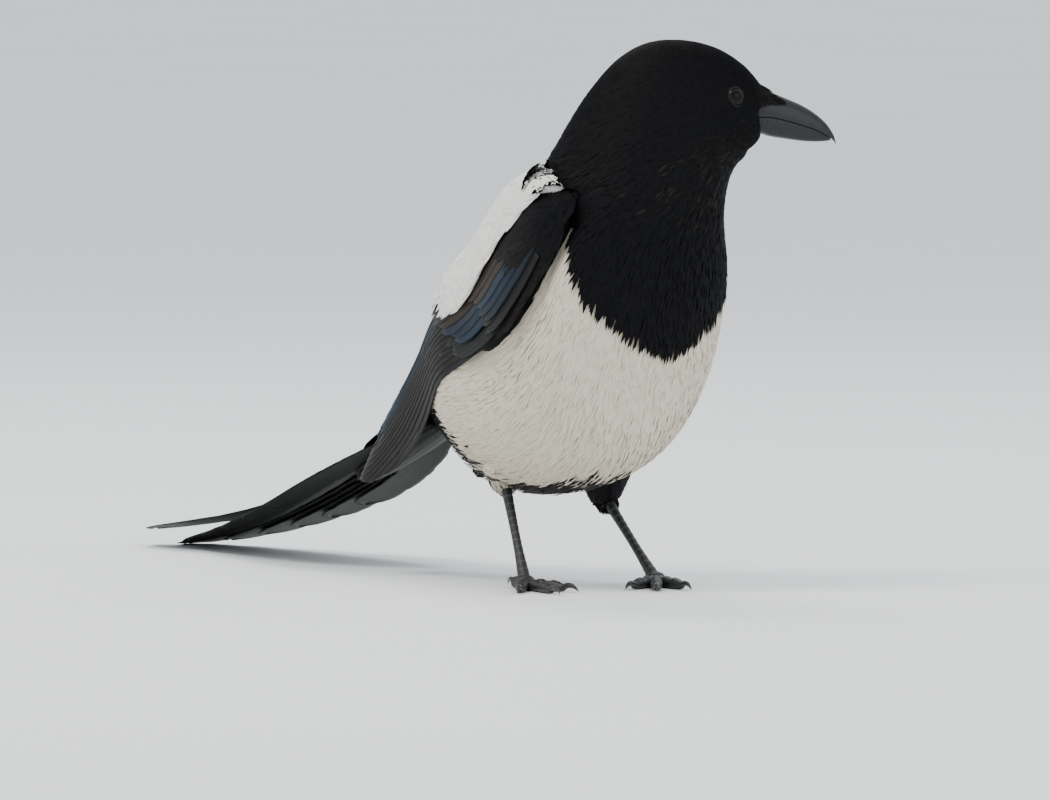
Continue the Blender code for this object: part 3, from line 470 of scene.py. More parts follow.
def feather_material(name, stops, shaft, edge, roughness, metallic, specular):
    """A large feather: fine barbs beside a shaft, a gloss that changes along it, and paler edges."""
    material, tree, node = shader(name, stops[0][1], roughness)
    node.inputs["Metallic"].default_value = metallic
    node.inputs["Specular IOR Level"].default_value = specular
    lie = tree.nodes.new("ShaderNodeSeparateXYZ")
    tree.links.new(attribute(tree, "lie").outputs["Vector"], lie.inputs[0])
    across, along, chance = lie.outputs
    distance = sums(tree, "ABSOLUTE", across)
    barb = tree.nodes.new("ShaderNodeCombineXYZ")
    slanted = sums(tree, "SUBTRACT", along, sums(tree, "MULTIPLY", distance, 1.6))
    tree.links.new(sums(tree, "MULTIPLY", slanted, 1500.0), barb.inputs[0])
    tree.links.new(sums(tree, "MULTIPLY", distance, 90.0), barb.inputs[1])
    tree.links.new(sums(tree, "MULTIPLY", chance, 37.0), barb.inputs[2])
    streak = noise(tree, 1.0, 2.0, barb.outputs[0])
    tone = attribute(tree, "tone").outputs["Fac"]
    level = sums(tree, "ADD", sums(tree, "MULTIPLY", tone, 0.8), sums(tree, "MULTIPLY", streak, 0.25))
    colour = shades(tree, level, stops)
    rim = shades(tree, attribute(tree, "rim").outputs["Fac"], ((0.80, (0, 0, 0)), (0.98, (1, 1, 1))))
    colour = blend(tree, sums(tree, "MULTIPLY", rim, sums(tree, "ADD", streak, -0.1)), colour, edge)
    middle = shades(tree, sums(tree, "MULTIPLY", distance, 1000.0), ((0.22, (1, 1, 1)), (0.42, (0, 0, 0))))
    quill = blend(tree, attribute(tree, "quill").outputs["Fac"], shaft, QUILL)
    colour = blend(tree, attribute(tree, "pale").outputs["Fac"], colour, INNER_WEB)
    colour = blend(tree, sums(tree, "MULTIPLY", middle, 0.7), colour, quill)
    tree.links.new(colour, node.inputs["Base Color"])
    bump(tree, node, streak, 0.5, 0.00025)
    return material


BROWN, BUFF = (0.040, 0.033, 0.025), (0.36, 0.30, 0.21)
QUILL, INNER_WEB = (0.16, 0.145, 0.10), (0.42, 0.39, 0.30)
# Each coat: the colour of its deeper and of its paler tufts, its tint (which also makes painted glints),
# roughness and specular.
COATS = {
    "black": ((0.0014, 0.0014, 0.0018), (0.0042, 0.0042, 0.0052), BROWN, 0.6, 0.08),
    # The white coat of the breast, belly and near thigh is a darker, creamier copy of the shoulder's white:
    # painted shade.
    "white": ((0.56, 0.50, 0.39), (0.67, 0.61, 0.49), BUFF, 0.85, 0.25),
    "shoulder": ((0.72, 0.70, 0.66), (0.84, 0.825, 0.79), BUFF, 0.85, 0.25),
}
# The bare skin under the coat: colour and roughness.
# The white skin is as dark as the white coat over it, with the same painted shade.
SKINS = {"black_skin": ((0.005, 0.005, 0.006), 0.7), "shaded_white_skin": ((0.58, 0.52, 0.41), 0.9)}


def wing_material():
    """Black wing feathers with a bronze, green and blue gloss."""
    stops = ((0.05, (0.004, 0.004, 0.005)), (0.28, (0.011, 0.010, 0.0075)), (0.42, (0.006, 0.008, 0.010)),
             (0.62, (0.006, 0.016, 0.032)), (0.78, (0.009, 0.022, 0.040)), (0.97, (0.024, 0.017, 0.011)))
    return feather_material("flight_feathers", stops, (0.012, 0.010, 0.009), (0.017, 0.015, 0.012),
                            0.45, 0.04, 0.12)


def tail_material():
    """Black tail feathers with a gloss from green to blue and purple."""
    stops = ((0.1, (0.0075, 0.0072, 0.0055)), (0.35, (0.005, 0.009, 0.007)), (0.55, (0.005, 0.013, 0.012)),
             (0.75, (0.007, 0.017, 0.026)), (0.95, (0.013, 0.007, 0.022)))
    return feather_material("tail_feathers", stops, (0.008, 0.0075, 0.007), (0.014, 0.013, 0.012),
                            0.5, 0.03, 0.07)


def horny(name, base, roughness, specular, tone, grain, stops, relief=None):
    """Horn or bare skin: its colour comes from the tone at each point and a fine grain, over fine relief."""
    material, tree, node = shader(name, base, roughness)
    node.inputs["Specular IOR Level"].default_value = specular
    scale, detail, share = grain
    level = sums(tree, "MULTIPLY", attribute(tree, "tone").outputs["Fac"], tone)
    level = sums(tree, "ADD", level, sums(tree, "MULTIPLY", noise(tree, scale, detail), share))
    tree.links.new(shades(tree, level, stops), node.inputs["Base Color"])
    if relief:
        scale, detail, strength, depth = relief
        bump(tree, node, noise(tree, scale, detail), strength, depth)
    return material, tree, node


def bill_material():
    """Horn: nearly black and glossy, worn paler at its tip, with fine scratches."""
    stops = ((0.1, (0.012, 0.012, 0.014)), (0.5, (0.030, 0.030, 0.033)), (1.0, (0.15, 0.125, 0.09)))
    material, tree, node = horny("bill_horn", (0.02, 0.02, 0.022), 0.3, 0.22, 1.0, (450.0, 4.0, 0.3), stops,
                                 (900.0, 5.0, 0.22, 0.0002))
    gloss = shades(tree, noise(tree, 450.0, 4.0), ((0.3, (0.20,) * 3), (0.7, (0.36,) * 3)))
    tree.links.new(gloss, node.inputs["Roughness"])
    return material


def leg_material():
    """Scaly skin: dark grey, paler at the edges of the scales and dusty between them."""
    stops = ((0.2, (0.012, 0.012, 0.013)), (0.55, (0.030, 0.030, 0.032)), (0.95, (0.16, 0.16, 0.155)))
    return horny("leg_scales", (0.03, 0.03, 0.032), 0.5, 0.5, 0.6, (700.0, 4.0, 0.5), stops,
                 (1400.0, 4.0, 0.45, 0.0002))[0]


def claw_material():
    """Smooth black horn."""
    stops = ((0.3, (0.009, 0.009, 0.010)), (0.75, (0.032, 0.031, 0.031)))
    return horny("claw_horn", (0.015, 0.015, 0.016), 0.3, 0.5, 0.0, (900.0, 3.0, 1.0), stops,
                 (900.0, 3.0, 0.2, 0.0001))[0]


def eye_material():
    """A wet, dark brown eye with a black pupil."""
    stops = ((0.42, (0.0005, 0.0005, 0.0006)), (0.50, (0.008, 0.0045, 0.003)), (0.85, (0.004, 0.0025, 0.002)))
    return horny("eye_wet", (0.01, 0.006, 0.004), 0.06, 0.15, 1.0, (1500.0, 3.0, 0.06), stops)[0]


def lid_material():
    """Dark skin with a paler rim."""
    stops = ((0.3, (0.004, 0.004, 0.0045)), (0.95, (0.060, 0.055, 0.050)))
    return horny("eyelid_skin", (0.03, 0.03, 0.03), 0.6, 0.12, 1.0, (1800.0, 3.0, 0.4), stops,
                 (2200.0, 3.0, 0.4, 0.0002))[0]


def floor_material():
    """A plain pale floor, faintly uneven."""
    material, tree, node = shader("studio_floor", (0.92, 0.93, 0.94), 0.8)
    colour = shades(tree, noise(tree, 3.0, 2.0), ((0.3, (0.91, 0.92, 0.935)), (0.7, (0.93, 0.94, 0.955))))
    tree.links.new(colour, node.inputs["Base Color"])
    return material


def skin_material(name, colour, roughness):
    """The bare skin under the coat, finely rough."""
    material, tree, node = shader(name, colour, roughness)
    bump(tree, node, noise(tree, 1200.0), 0.4, 0.0003)
    return material


# Markings: the same for the skin and for the coat that grows from it.

def bib_edge(angle):
    """Where the black bib ends round the body: lowest on the breast, and high at the flanks, by the wings."""
    side = from_back(angle)
    back = ramp(side, 0.0, 1.4)
    return BIB_FRONT + back * (BIB_SLOPE * ramp(side, math.pi, 2.3) + BIB_RISE * ramp(side, 2.3, 1.4))


def is_white(at, angle, ahead=0.0):
    """Whether a place is white. Tufts reach past their roots, so ahead moves the edges forward."""
    side = from_back(angle)
    start = 1.9 + ahead - 0.5 * ramp(side, 2.2, 1.4) + 1.4 * ramp(side, 2.4, 2.95)
    return (at > start) & (at < bib_edge(angle) + ahead) & (side > 1.2)


def wash_of(at, angle, white):
    """How much of the tint a place has: buff low on the belly, brown round the vent and on the rump."""
    side = from_back(angle)
    low = 0.45 * (1 - ramp(at, 2.2, 4.2)) * ramp(side, 1.6, 2.6)
    vent = 0.5 * (1 - ramp(at, 2.8, 3.8)) * ramp(side, 2.0, 2.8)
    rump = 0.5 * ramp(at, 1.9, 2.2) * (1 - ramp(at, 2.9, 3.2)) * (1 - ramp(side, 0.6, 1.0))
    return np.where(white, low, np.maximum(vent, rump))


# Tufts of the coat.

RING_SHARES = (0.0, 0.38, 0.74)
RING_WIDTHS = (0.75, 1.0, 0.72)
RING_RISES = (0.0, 0.55, 0.9)
TUFT_THICK = 0.00010
ROUND, RUFFLE = 0.22, 0.07  # how round a tuft is shaded, and how unevenly tufts catch the light
PATCH = 0.003  # the size of a tuft's patch on the map
SPREAD_CELLS = 160  # along each side of the grid that tufts are spread by
TUFT_TRIANGLES, MOST_TRIANGLES = 16, 190000  # in a tuft, and in a piece of the coat
TUFTS, QUICK_TUFTS = 62000, 30000  # on the body
ARM_TUFTS, SHOULDER_TUFTS, BACK_TUFTS, THIGH_TUFTS, BRISTLES = 5200, 9000, 5200, 2600, 3600


def tufts(rng, face, a, b, way, length, half, lift, inset, sway=0.12, outward=1, uv=None):
    """Closed tapered tufts on a surface. Each starts a little inside it, at a, b, and lies along it, the way
    that the first place grows if way is 1. Its tip stands out by lift."""
    count = len(a)
    length, half, lift, inset = (np.broadcast_to(v, count) for v in (length, half, lift, inset))
    along, across = slopes(face, a, b)
    normal = unit(np.cross(along, across)) * outward
    ahead = unit(along) * way
    side = np.cross(normal, ahead)
    angle = rng.normal(0, sway, count)
    heading = ahead * np.cos(angle)[:, None] + side * np.sin(angle)[:, None]
    da, db = steps_for(heading, along, across)
    da, db = da * length, db * length
    reach = np.linalg.norm(face(a + da, b + db) - face(a, b), axis=-1)
    short = np.where(reach > 1.25 * length, length / np.maximum(reach, 1e-6), 1.0) ** 1.5
    da, db = da * short, db * short
    rings, share_of, leans = [], [], []
    ruffle = rng.normal(0, RUFFLE, (count, 3))
    for share, wide, rise in zip(RING_SHARES, RING_WIDTHS, RING_RISES):
        pa, pb = a + da * share, b + db * share
        centre = face(pa, pb)
        out = normal_of(face, pa, pb, outward)
        left = unit(np.cross(out, heading))
        height = (-inset + (inset + lift) * rise)[:, None]
        base = centre + out * (height - TUFT_THICK)
        edge = left * (half * wide)[:, None]
        rings += [base - edge, centre + out * (height + TUFT_THICK), base + edge]
        leans += [unit(out + ruffle - left * ROUND), unit(out + ruffle), unit(out + ruffle + left * ROUND)]
        share_of += [share] * 3
    leans.append(unit(normal_of(face, a + da, b + db, outward) + ruffle))
    rings.append(face(a + da, b + db) + normal_of(face, a + da, b + db, outward) * lift[:, None])
    share_of.append(1.0)
    points = np.stack(rings, 1)
    per = points.shape[1]
    pattern = [(0, 1, 2)]
    for k in range(0, per - 4, 3):
        for p, q in ((0, 1), (1, 2), (2, 0)):
            pattern += [(k + p, k + 3 + p, k + 3 + q), (k + p, k + 3 + q, k + q)]
    last = per - 4
    for p, q in ((0, 1), (1, 2), (2, 0)):
        pattern.append((last + p, per - 1, last + q))
    faces = (np.arange(count)[:, None, None] * per + np.array(pattern)[None]).reshape(-1, 3)
    share = np.tile(share_of, (count, 1))
    tone = np.repeat(rng.random(count), per)
    sideways = np.tile([-0.5, 0, 0.5] * len(RING_SHARES) + [0.0], (count, 1))
    values = {"tone": tone, "share": share.ravel(), "lean": np.stack(leans, 1).reshape(-1, 3)}
    if uv is not None:
        place = np.stack([uv[0][:, None] + PATCH * sideways, uv[1][:, None] + PATCH * (share - 0.5)], -1)
        values["uv"] = place.reshape(-1, 2)
    return points.reshape(-1, 3), faces, values


def coat_piece(name, made, wash, material, replaced=()):
    """Makes a piece of the coat out of tufts, with a tint for each of them, which is either a plumage colour
    or a painted glint.
    """
    points, faces, values = made
    values["wash"] = np.repeat(wash, len(points) // len(wash))
    places, leans = values.pop("uv"), values.pop("lean")
    dress(build(name, points, faces, values, places, leans), material, replaced)


def plain_values(points, tone):
    """What the coat's materials read, the same all over a form that lies under tufts."""
    ones = np.ones(len(points))
    return {"tone": tone * ones, "share": 0.3 * ones, "wash": 0 * ones}


def outward_of(face, a, b, away):
    """The sign that turns a surface's normals to the side where away points, at one place."""
    normal = normal_of(face, np.array([a]), np.array([b]))[0]
    return float(np.sign((normal * away).sum()))


def evenly(a, b):
    """The same size everywhere."""
    return 1.0 + 0 * a


def spread(rng, face, rows, columns, count, size=evenly):
    """Random places over a surface, closer where size says that the tufts are smaller."""
    lines = SPREAD_CELLS + 1
    a, b = grid_of(np.linspace(*rows, lines), np.linspace(*columns, lines))
    a, b = (a[1:, 1:] + a[:-1, :-1]) / 2, (b[1:, 1:] + b[:-1, :-1]) / 2
    along, across = slopes(face, a, b)
    weight = np.linalg.norm(np.cross(along, across), axis=-1) / size(a, b)
    total = np.cumsum(weight.ravel())
    draws = (np.arange(count) + rng.random(count)) / count * total[-1]
    pick = np.minimum(np.searchsorted(total, draws), weight.size - 1)
    step_a, step_b = (rows[1] - rows[0]) / SPREAD_CELLS, (columns[1] - columns[0]) / SPREAD_CELLS
    return (a.ravel()[pick] + (rng.random(count) - 0.5) * step_a,
            b.ravel()[pick] + (rng.random(count) - 0.5) * step_b)


def body_length(at, angle):
    """The length of the small feathers over the body, shortest on the face."""
    vent = 0.008 * (1 - ramp(at, 2.8, 3.8)) * ramp(from_back(angle), 2.1, 2.7)
    return between(0.0135, 0.0030, ramp(at, 4.0, 15.5)) * (1 - 0.25 * ramp(at, 9.0, 11.0)) + vent


def body_half(at):
    """Half the width of a small feather, least on the face."""
    return between(0.00080, 0.00028, ramp(at, 3.0, 14.0))


def tree_of(*names):
    """Nodes of the frame as one tree to cast rays at, where the sizes put them."""
    points, faces, start = [], [], 0
    for name in names:
        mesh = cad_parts[name].data
        co = np.zeros(len(mesh.vertices) * 3)
        mesh.vertices.foreach_get("co", co)
        mesh.calc_loop_triangles()
        tri = np.zeros(len(mesh.loop_triangles) * 3, np.int32)
        mesh.loop_triangles.foreach_get("vertices", tri)
        points.append(co.reshape(-1, 3) - SHIFT)
        faces.append(tri.reshape(-1, 3) + start)
        start += len(mesh.vertices)
    points, faces = np.concatenate(points), np.concatenate(faces)
    return BVHTree.FromPolygons([Vector(p) for p in points], faces.tolist())


def reach_of(tree, points, directions, distance):
    """How far each point is from the tree along its direction, or more than distance."""
    found = np.full(len(points), distance * 2)
    for k, (point, way) in enumerate(zip(points, directions)):
        hit = tree.ray_cast(Vector(point), Vector(way), distance)[3]
        if hit is not None:
            found[k] = hit
    return found


def body_coat(rng, materials):
    """The small feathers of the body, neck and head, as black and as white pieces."""
    count = TUFTS
    a, b = spread(rng, skin, (0.15, 15.97), (-math.pi, math.pi), count,
                  lambda at, angle: body_length(at, angle) * body_half(at))
    a = a - chin_back(a, b)
    points, normals = skin(a, b), normal_of(skin, a, b)
    keep = np.ones(count, bool)
    for middle, way in EYES.values():
        offset = points - middle
        forward, up = eye_axes(way)
        round_eye = np.hypot(offset @ forward / 0.0037, offset @ up / 0.0045)
        keep &= (round_eye > 1) | (offset @ way < 0)
    cover = tree_of("wing_left", "wing_right", "mantle", "scapulars_left", "scapulars_right")
    covered = reach_of(cover, points - normals * 0.004, normals, 0.016) < 0.016
    length = body_length(a, b) * rng.uniform(0.8, 1.2, count)
    speed = np.linalg.norm(slopes(skin, a, b)[0], axis=-1)
    tip = a - length / speed
    away = normal_of(skin, tip, b)
    covered_tip = reach_of(cover, skin(tip, b) - away * 0.004, away, 0.016) < 0.016
    deep = covered & covered_tip & (rng.random(count) < 0.85)
    keep &= ~deep
    a, b, length, speed = a[keep], b[keep], length[keep], speed[keep]
    mingled = rng.normal(0, 0.16, len(a)) * (a < 4.0)
    white = is_white(a + mingled, b, ahead=0.30)
    length = length * np.where(white, 1.0, 1 - 0.35 * (1 - ramp(a - bib_edge(b), 0.5, 1.1)) * (a > 4.0))
    half = body_half(a) * rng.uniform(0.8, 1.25, len(a))
    inset = between(0.0008, 0.0005, ramp(a, 8.0, 11.0))
    lift = between(0.0006, 0.00025, ramp(a, 6.0, 11.0)) * rng.uniform(0.1, 1.5, len(a))
    past = a - bib_edge(b)
    inset = inset + 0.0006 * white * ramp(past, -0.6, 0.0)
    flat = lift * (1 - 0.9 * ramp(past, -0.7, -0.1))
    lift = np.where(white, flat, lift + 0.0003 * (1 - ramp(past, 0.3, 0.8)))
    fringe = (1 - ramp(a, 2.6, 3.6)) * ramp(from_back(b), 2.3, 2.7)
    lift = lift + 0.0035 * fringe * rng.random(len(a))
    uv = (b / (2 * math.pi) * 0.98 + 0.5, a / FACE * 0.98 + 0.01)
    wash = wash_of(a, b, white)
    # Painted glints: some throat tufts get a lighter tint that stands in for light catching the fine throat
    # feathers.
    throat = ramp(a, 7.5, 8.5) * (1 - ramp(a, 13.5, 15.0)) * ramp(from_back(b), 1.8, 2.3)
    wash = np.where(rng.random(len(a)) < 0.12 * throat, 0.3, wash)
    for name, mask in (("black", ~white), ("white", white)):
        index = np.flatnonzero(mask)
        groups = max(1, math.ceil(len(index) * TUFT_TRIANGLES / MOST_TRIANGLES))
        for part, chosen in enumerate(np.array_split(index, groups)):
            made = tufts(rng, skin, a[chosen], b[chosen], -1, length[chosen], half[chosen], lift[chosen],
                         inset[chosen], uv=(uv[0][chosen], uv[1][chosen]))
            coat_piece(f"coat_{name}_{part + 1}", made, wash[chosen], materials[name])


# The skin under the coat.

SKIN_AROUND = 96  # points round the body


def limb(name):
    """The surface of a thigh: places are along it from the hip and round it."""
    ankle, ball = np.array(ANKLE[name]), np.array([*BALL[name], BALL_HEIGHT])
    down = unit(ball - ankle)
    hip = np.array([SIDES[name] * 0.021, 0.010, 0.070])
    middle = (hip + ankle) / 2 + np.array([0, 0.004, 0])
    path = np.array([hip, middle, ankle, ankle + down * THIGH_LOBE[name]])
    table = np.concatenate([path, np.array(THIGH_RADII[name])[:, None]], 1)

    def face(a, b):
        a = np.asarray(a)
        row = spline(table, a)
        along = unit(spline(table, a + 0.01)[..., :3] - spline(table, a - 0.01)[..., :3])
        across = unit(np.cross(along, np.array([0, 0, 1.0])))
        other = np.cross(across, along)
        return row[..., :3] + row[..., 3:] * (np.cos(b)[..., None] * across + np.sin(b)[..., None] * other)

    return face


def chin_back(at, angle):
    """How far back, in rows, the face ends below the corner of the mouth, where the bill is bare."""
    return 0.75 * ramp(at, 14.2, FACE) * ramp(from_back(angle), 1.35, 1.9)


def make_skin(materials, cape):
    """One skin under the small feathers of the body, neck and head, with the thighs and the back in it."""
    at = np.concatenate([np.linspace(0.0, 10.0, 90), np.linspace(10.1, FACE, 50)])[:, None]
    angle = turns(SKIN_AROUND)[None]
    inset = between(COAT_DEPTH, FACE_DEPTH, ramp(at, 8.0, 11.0))
    where = at - chin_back(at, angle)
    rings = skin(where, angle) - normal_of(skin, where, angle + 0 * at) * inset[..., None]
    points, faces = loft(rings)
    obj = build("skin", points, faces)
    row, column = faces[:, 0] // SKIN_AROUND, faces[:, 0] % SKIN_AROUND
    row = np.minimum(row, len(at) - 1)
    patches = is_white(at[row, 0], angle[0, column], ahead=0.1).astype(np.int32)
    others = []
    for name in SIDES:
        face = limb(name)
        a, b = grid_of(np.linspace(0, 3, 40), turns(32))
        rings = face(a, b)
        middle = rings.mean(1, keepdims=True)
        rings = middle + (rings - middle) * np.linspace(0.90, 0.80, 40)[:, None, None]
        others.append(build("thigh", *loft(rings)))
    rows, columns = grid_of(np.linspace(0, 1, 40), np.linspace(-0.80, 0.80, 30))
    top = cape(rows, columns)
    out = normal_of(cape, rows, columns)
    out = out * np.sign(out[..., 2].mean())
    others.append(build("cape", *sheet(top - out * CAPE_DEPTH, top - out * COAT_DEPTH)))
    for each in (obj, *others):
        each.data.materials.append(materials["black_skin"])
        each.data.materials.append(materials["shaded_white_skin"])
    obj.data.polygons.foreach_set("material_index", patches)
    change = obj.modifiers.new("join", "BOOLEAN")
    group = bpy.data.collections.new("joined_in")
    for other in others:
        bpy.context.scene.collection.objects.unlink(other)
        group.objects.link(other)
    bpy.context.scene.collection.children.link(group)
    change.operand_type = "COLLECTION"
    change.collection = group
    change.operation = "UNION"
    change.solver = "MANIFOLD"
    bpy.context.view_layer.update()
    baked = bpy.data.meshes.new_from_object(obj.evaluated_get(bpy.context.evaluated_depsgraph_get()))
    obj.modifiers.clear()
    obj.data = baked
    for other in others:
        bpy.data.objects.remove(other)
    bpy.data.collections.remove(group)
    obj.data.polygons.foreach_set("use_smooth", np.ones(len(obj.data.polygons), bool))
    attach(obj, "root")
    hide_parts("rump", "torso", "breast", "neck", "head", "thigh_left", "thigh_right", "mantle")


# Wings.

def surface(points, side):
    """Makes a grid of points into a function of two places from 0 to 1 and a height above the surface."""
    rows, columns = points.shape[:2]
    normals = unit(np.cross(np.gradient(points, axis=0), np.gradient(points, axis=1)) * -side)

    def place(along, across, height):
        along, across, height = np.broadcast_arrays(along, across, height)
        a, b = along * (rows - 1), across * (columns - 1)
        i = np.clip(a.astype(int), 0, rows - 2)
        j = np.clip(b.astype(int), 0, columns - 2)
        u, v = (a - i)[..., None], (b - j)[..., None]

        def mix(grid):
            near = grid[i, j] * (1 - u) + grid[i + 1, j] * u
            return near * (1 - v) + (grid[i, j + 1] * (1 - u) + grid[i + 1, j + 1] * u) * v

        return mix(points) + unit(mix(normals)) * height[..., None]

    return place


def trunk_tree():
    """The solids' trunk as one closed surface, to lay the wings on."""
    angle = turns(AROUND)
    at = np.linspace(0.0, FACE, 49)[:, None]
    points, faces = loft(skin(at, angle[None]))
    return BVHTree.FromPolygons([Vector(p) for p in points], faces.tolist())


def clear_of(tree, points, distance):
    """Moves points outwards until they are as far from the surface as asked."""
    flat = points.reshape(-1, 3)
    for k, point in enumerate(flat):
        near, normal, _, _ = tree.find_nearest(Vector(point))
        depth = (Vector(point) - near).dot(normal)
        if (Vector(point) - near).length < distance or depth < 0:
            flat[k] = near + normal * distance
    return flat.reshape(points.shape)


def wing_surface(tree, name):
    """The surface that the flight feathers of a folded wing lie on, from its shoulder to its tip and from its
    top edge down."""
    side = SIDES[name]
    along = np.linspace(0, 1, 41)[:, None]
    across = np.linspace(0, 1, 17)[None, :]
    top = spline(WING_TOP, along[:, 0] * (len(WING_TOP) - 1))[:, None]
    bottom = spline(WING_BOTTOM, along[:, 0] * (len(WING_BOTTOM) - 1))[:, None]
    points = between(top, bottom, across[..., None])
    points[..., :2] += (1 - ramp(along, 0.0, 0.4))[..., None] * SHOULDER_SHIFT[name]
    points = points * np.array([side, -1, 1])
    swell = np.array([side * 0.85, 0.25, 0.45]) * WING_SWELL
    points = points + 4 * (across * (1 - across) * (1 - 0.6 * along))[..., None] * swell
    normals = unit(np.cross(np.gradient(points, axis=0), np.gradient(points, axis=1)) * -side)
    depth = between(between(*WING_DEPTH_TOP, along), between(*WING_DEPTH_BOTTOM, along), across)
    points = points - normals * depth[..., None]
    for _ in range(4):
        points = clear_of(tree, points, SLACK)
        points[1:-1] = 0.5 * points[1:-1] + 0.25 * (points[2:] + points[:-2])
        points[:, 1:-1] = 0.5 * points[:, 1:-1] + 0.25 * (points[:, 2:] + points[:, :-2])
    return surface(clear_of(tree, points, SLACK), side)


def stack(across):
    """How high the flight feathers lie: the inner ones, near the wing's top edge, lie over the outer ones."""
    return 0.0003 + STACK * (1 - across)


VANE_COLUMNS = np.array([-1, -0.82, -0.45, -0.09, 0, 0.09, 0.45, 0.82, 1.0])


def feather(rng, place, along, across, half, low, lean, tone, crown=0.0002, shaft=0.00022, thick=0.00022,
            quill=0.0, pale=0.0, under=None):
    """One large feather on a surface: a thin vane with a raised shaft, its edges a little frayed."""
    centre = place(along, across, 0 * along)
    step = 1e-3
    grow_a = (place(along + step, across, 0 * along) - centre) / step
    grow_b = (place(along, across + step, 0 * along) - centre) / step
    forward = unit(np.gradient(centre, axis=0))
    normal = unit(np.cross(grow_a, grow_b))
    sideways = np.cross(normal, forward)
    sideways *= np.sign((sideways * grow_b).sum(-1))[:, None]
    move_a, move_b = steps_for(sideways, grow_a, grow_b)
    travelled = np.concatenate([[0], np.cumsum(np.linalg.norm(np.diff(centre, axis=0), axis=1))])
    steps = len(along)
    fray = {u: 1 - 0.05 * np.maximum(rng.normal(0, 1, steps), 0) for u in (-1, 1)}
    below, above, lie, rims = [], [], [], []
    chance = rng.random()
    for u in VANE_COLUMNS:
        width = u * half * np.where(abs(u) > 0.7, fray[1 if u > 0 else -1], 1.0)
        spot = (along + move_a * width, across + move_b * width)
        rise = low + lean * (u + 1) / 2 + crown * (1 - u * u)
        below.append(place(*spot, rise))
        raised = shaft * (abs(u) < 0.05) * (1 - 0.6 * np.linspace(0, 1, steps))
        above.append(place(*spot, rise + thick + raised))
        lie.append(np.stack([width + 0 * along, travelled, chance + 0 * along], -1))
        rims.append(np.abs(u) + 0 * along)
    points, faces = sheet(np.stack(below, 1), np.stack(above, 1))
    lie = np.stack(lie, 1).reshape(-1, 3)
    rims = np.stack(rims, 1)
    rims = np.maximum(rims, np.linspace(0, 1, steps)[:, None] ** 6).reshape(-1)
    tones = np.repeat(tone + 0 * along, len(VANE_COLUMNS))
    low_tones = tones if under is None else np.full(len(tones), under)
    inner = (VANE_COLUMNS < 0.2) & (np.abs(VANE_COLUMNS) < 0.9)
    pales = (np.asarray(pale) + 0 * along)[:, None] * inner[None]
    return points, faces, {
        "lie": np.tile(lie, (2, 1)), "rim": np.tile(rims, 2), "tone": np.concatenate([low_tones, tones]),
        "quill": np.full(2 * len(tones), quill), "pale": np.tile(pales.ravel(), 2),
    }


def outline(shares, root=0.55, tip=0.15, full=0.7):
    """A feather's half width along it, as a share of the full one, with a rounded tip."""
    body = between(root, 1.0, ramp(shares, 0.0, 0.35))
    end = np.sqrt(np.clip(1 - ((shares - full) / (1 - full + 1e-9)).clip(0, 1) ** 2.4, 0, 1))
    return np.maximum(body * end, tip * body)


# Rows of coverts: how many, where they start and end across the wing, where their roots and tips are along it,
# half width, how high they lie at the root and the tip, and the tone of the first and the last.
COVERT_ROWS = (
    (5, 0.74, 0.90, 0.30, (0.56, 0.56), 0.0042, (0.0006, 0.0012), (0.30, 0.25)),
    (10, 0.08, 0.76, 0.26, (0.575, 0.53), 0.0062, (0.0012, 0.0020), (1.20, 0.66)),
    (3, 0.78, 0.90, 0.16, (0.40, 0.42), 0.0042, (0.0014, 0.0022), (0.30, 0.26)),
    (9, 0.30, 0.82, 0.16, (0.44, 0.40), 0.0054, (0.0017, 0.0028), (1.15, 0.50)),
)


def make_wing(rng, name, place, material):
    """A folded wing: flight feathers in a fan, and rows of coverts over them."""
    parts = []
    shares = np.linspace(0, 1, 26)
    count = 18
    for k in reversed(range(count)):
        share = k / (count - 1)
        tip_along, tip_across = spline(FLIGHT_TIPS, share * (len(FLIGHT_TIPS) - 1))
        along = between(CORE_END - 0.14, tip_along + rng.normal(0, 0.004), shares)
        across = between(between(0.08, 0.93, share), tip_across, shares**1.2)
        half = between(0.0074, 0.0044, share) * outline(shares, full=0.72)
        inner = share < 0.47
        tone = (0.72 if inner else 0.18 + 0.10 * rng.random()) + rng.normal(0, 0.03)
        pale = 0.0 if share < 0.80 else ramp(shares, 0.70, 0.76) * (1 - ramp(shares, 0.84, 0.90))
        parts.append(feather(rng, place, along, across, half, stack(share) + 0 * along, 0.0006, tone,
                             quill=0.1 if inner else 1.0, pale=pale, under=0.15))
    shares = np.linspace(0, 1, 14)
    for count, start, end, root, tips, half, lift, tones in COVERT_ROWS:
        for k in reversed(range(count)):
            share = k / (count - 1)
            along = between(root, between(*tips, share) + rng.normal(0, 0.005), shares)
            across = between(start, end, share) + 0.02 * shares
            low = stack(across) + between(*lift, ramp(shares, 0, 0.8)) - 0.0005
            width = half * outline(shares, root=0.7, full=0.62) * rng.uniform(0.95, 1.08)
            tone = between(*tones, ramp(share, 0.6, 0.9)) + rng.normal(0, 0.04)
            parts.append(feather(rng, place, along, across, width, low, 0.0005, tone, under=0.15))
    points, faces, values = joined(parts)
    wing = build("wing_feathers_" + name, points, faces, values)
    dress(wing, material, ["wing_" + name])


def arm_top(place):
    """The outer face of the wing's arm and hand."""
    def face(along, across):
        low = place(along, across, 0 * along)
        swell = 0.0015 * (1 - ramp(along, 0.20, CORE_END)) * (1 - ramp(across, 0.75, 1.0))
        high = place(along, across, stack(across) * 0.9 + 0.0006 + swell)
        front = (0.12 + 0.88 * ramp(along, 0.0, 0.15)) * (1 - 0.6 * ramp(across, 0.8, 1.0))
        return between(low, high, front[..., None])
    return face


def out_from(place, a, b):
    """The way out of a wing's surface."""
    low, high = place(np.array([a, a]), np.array([b, b]), np.array([0.0, 0.01]))
    return high - low


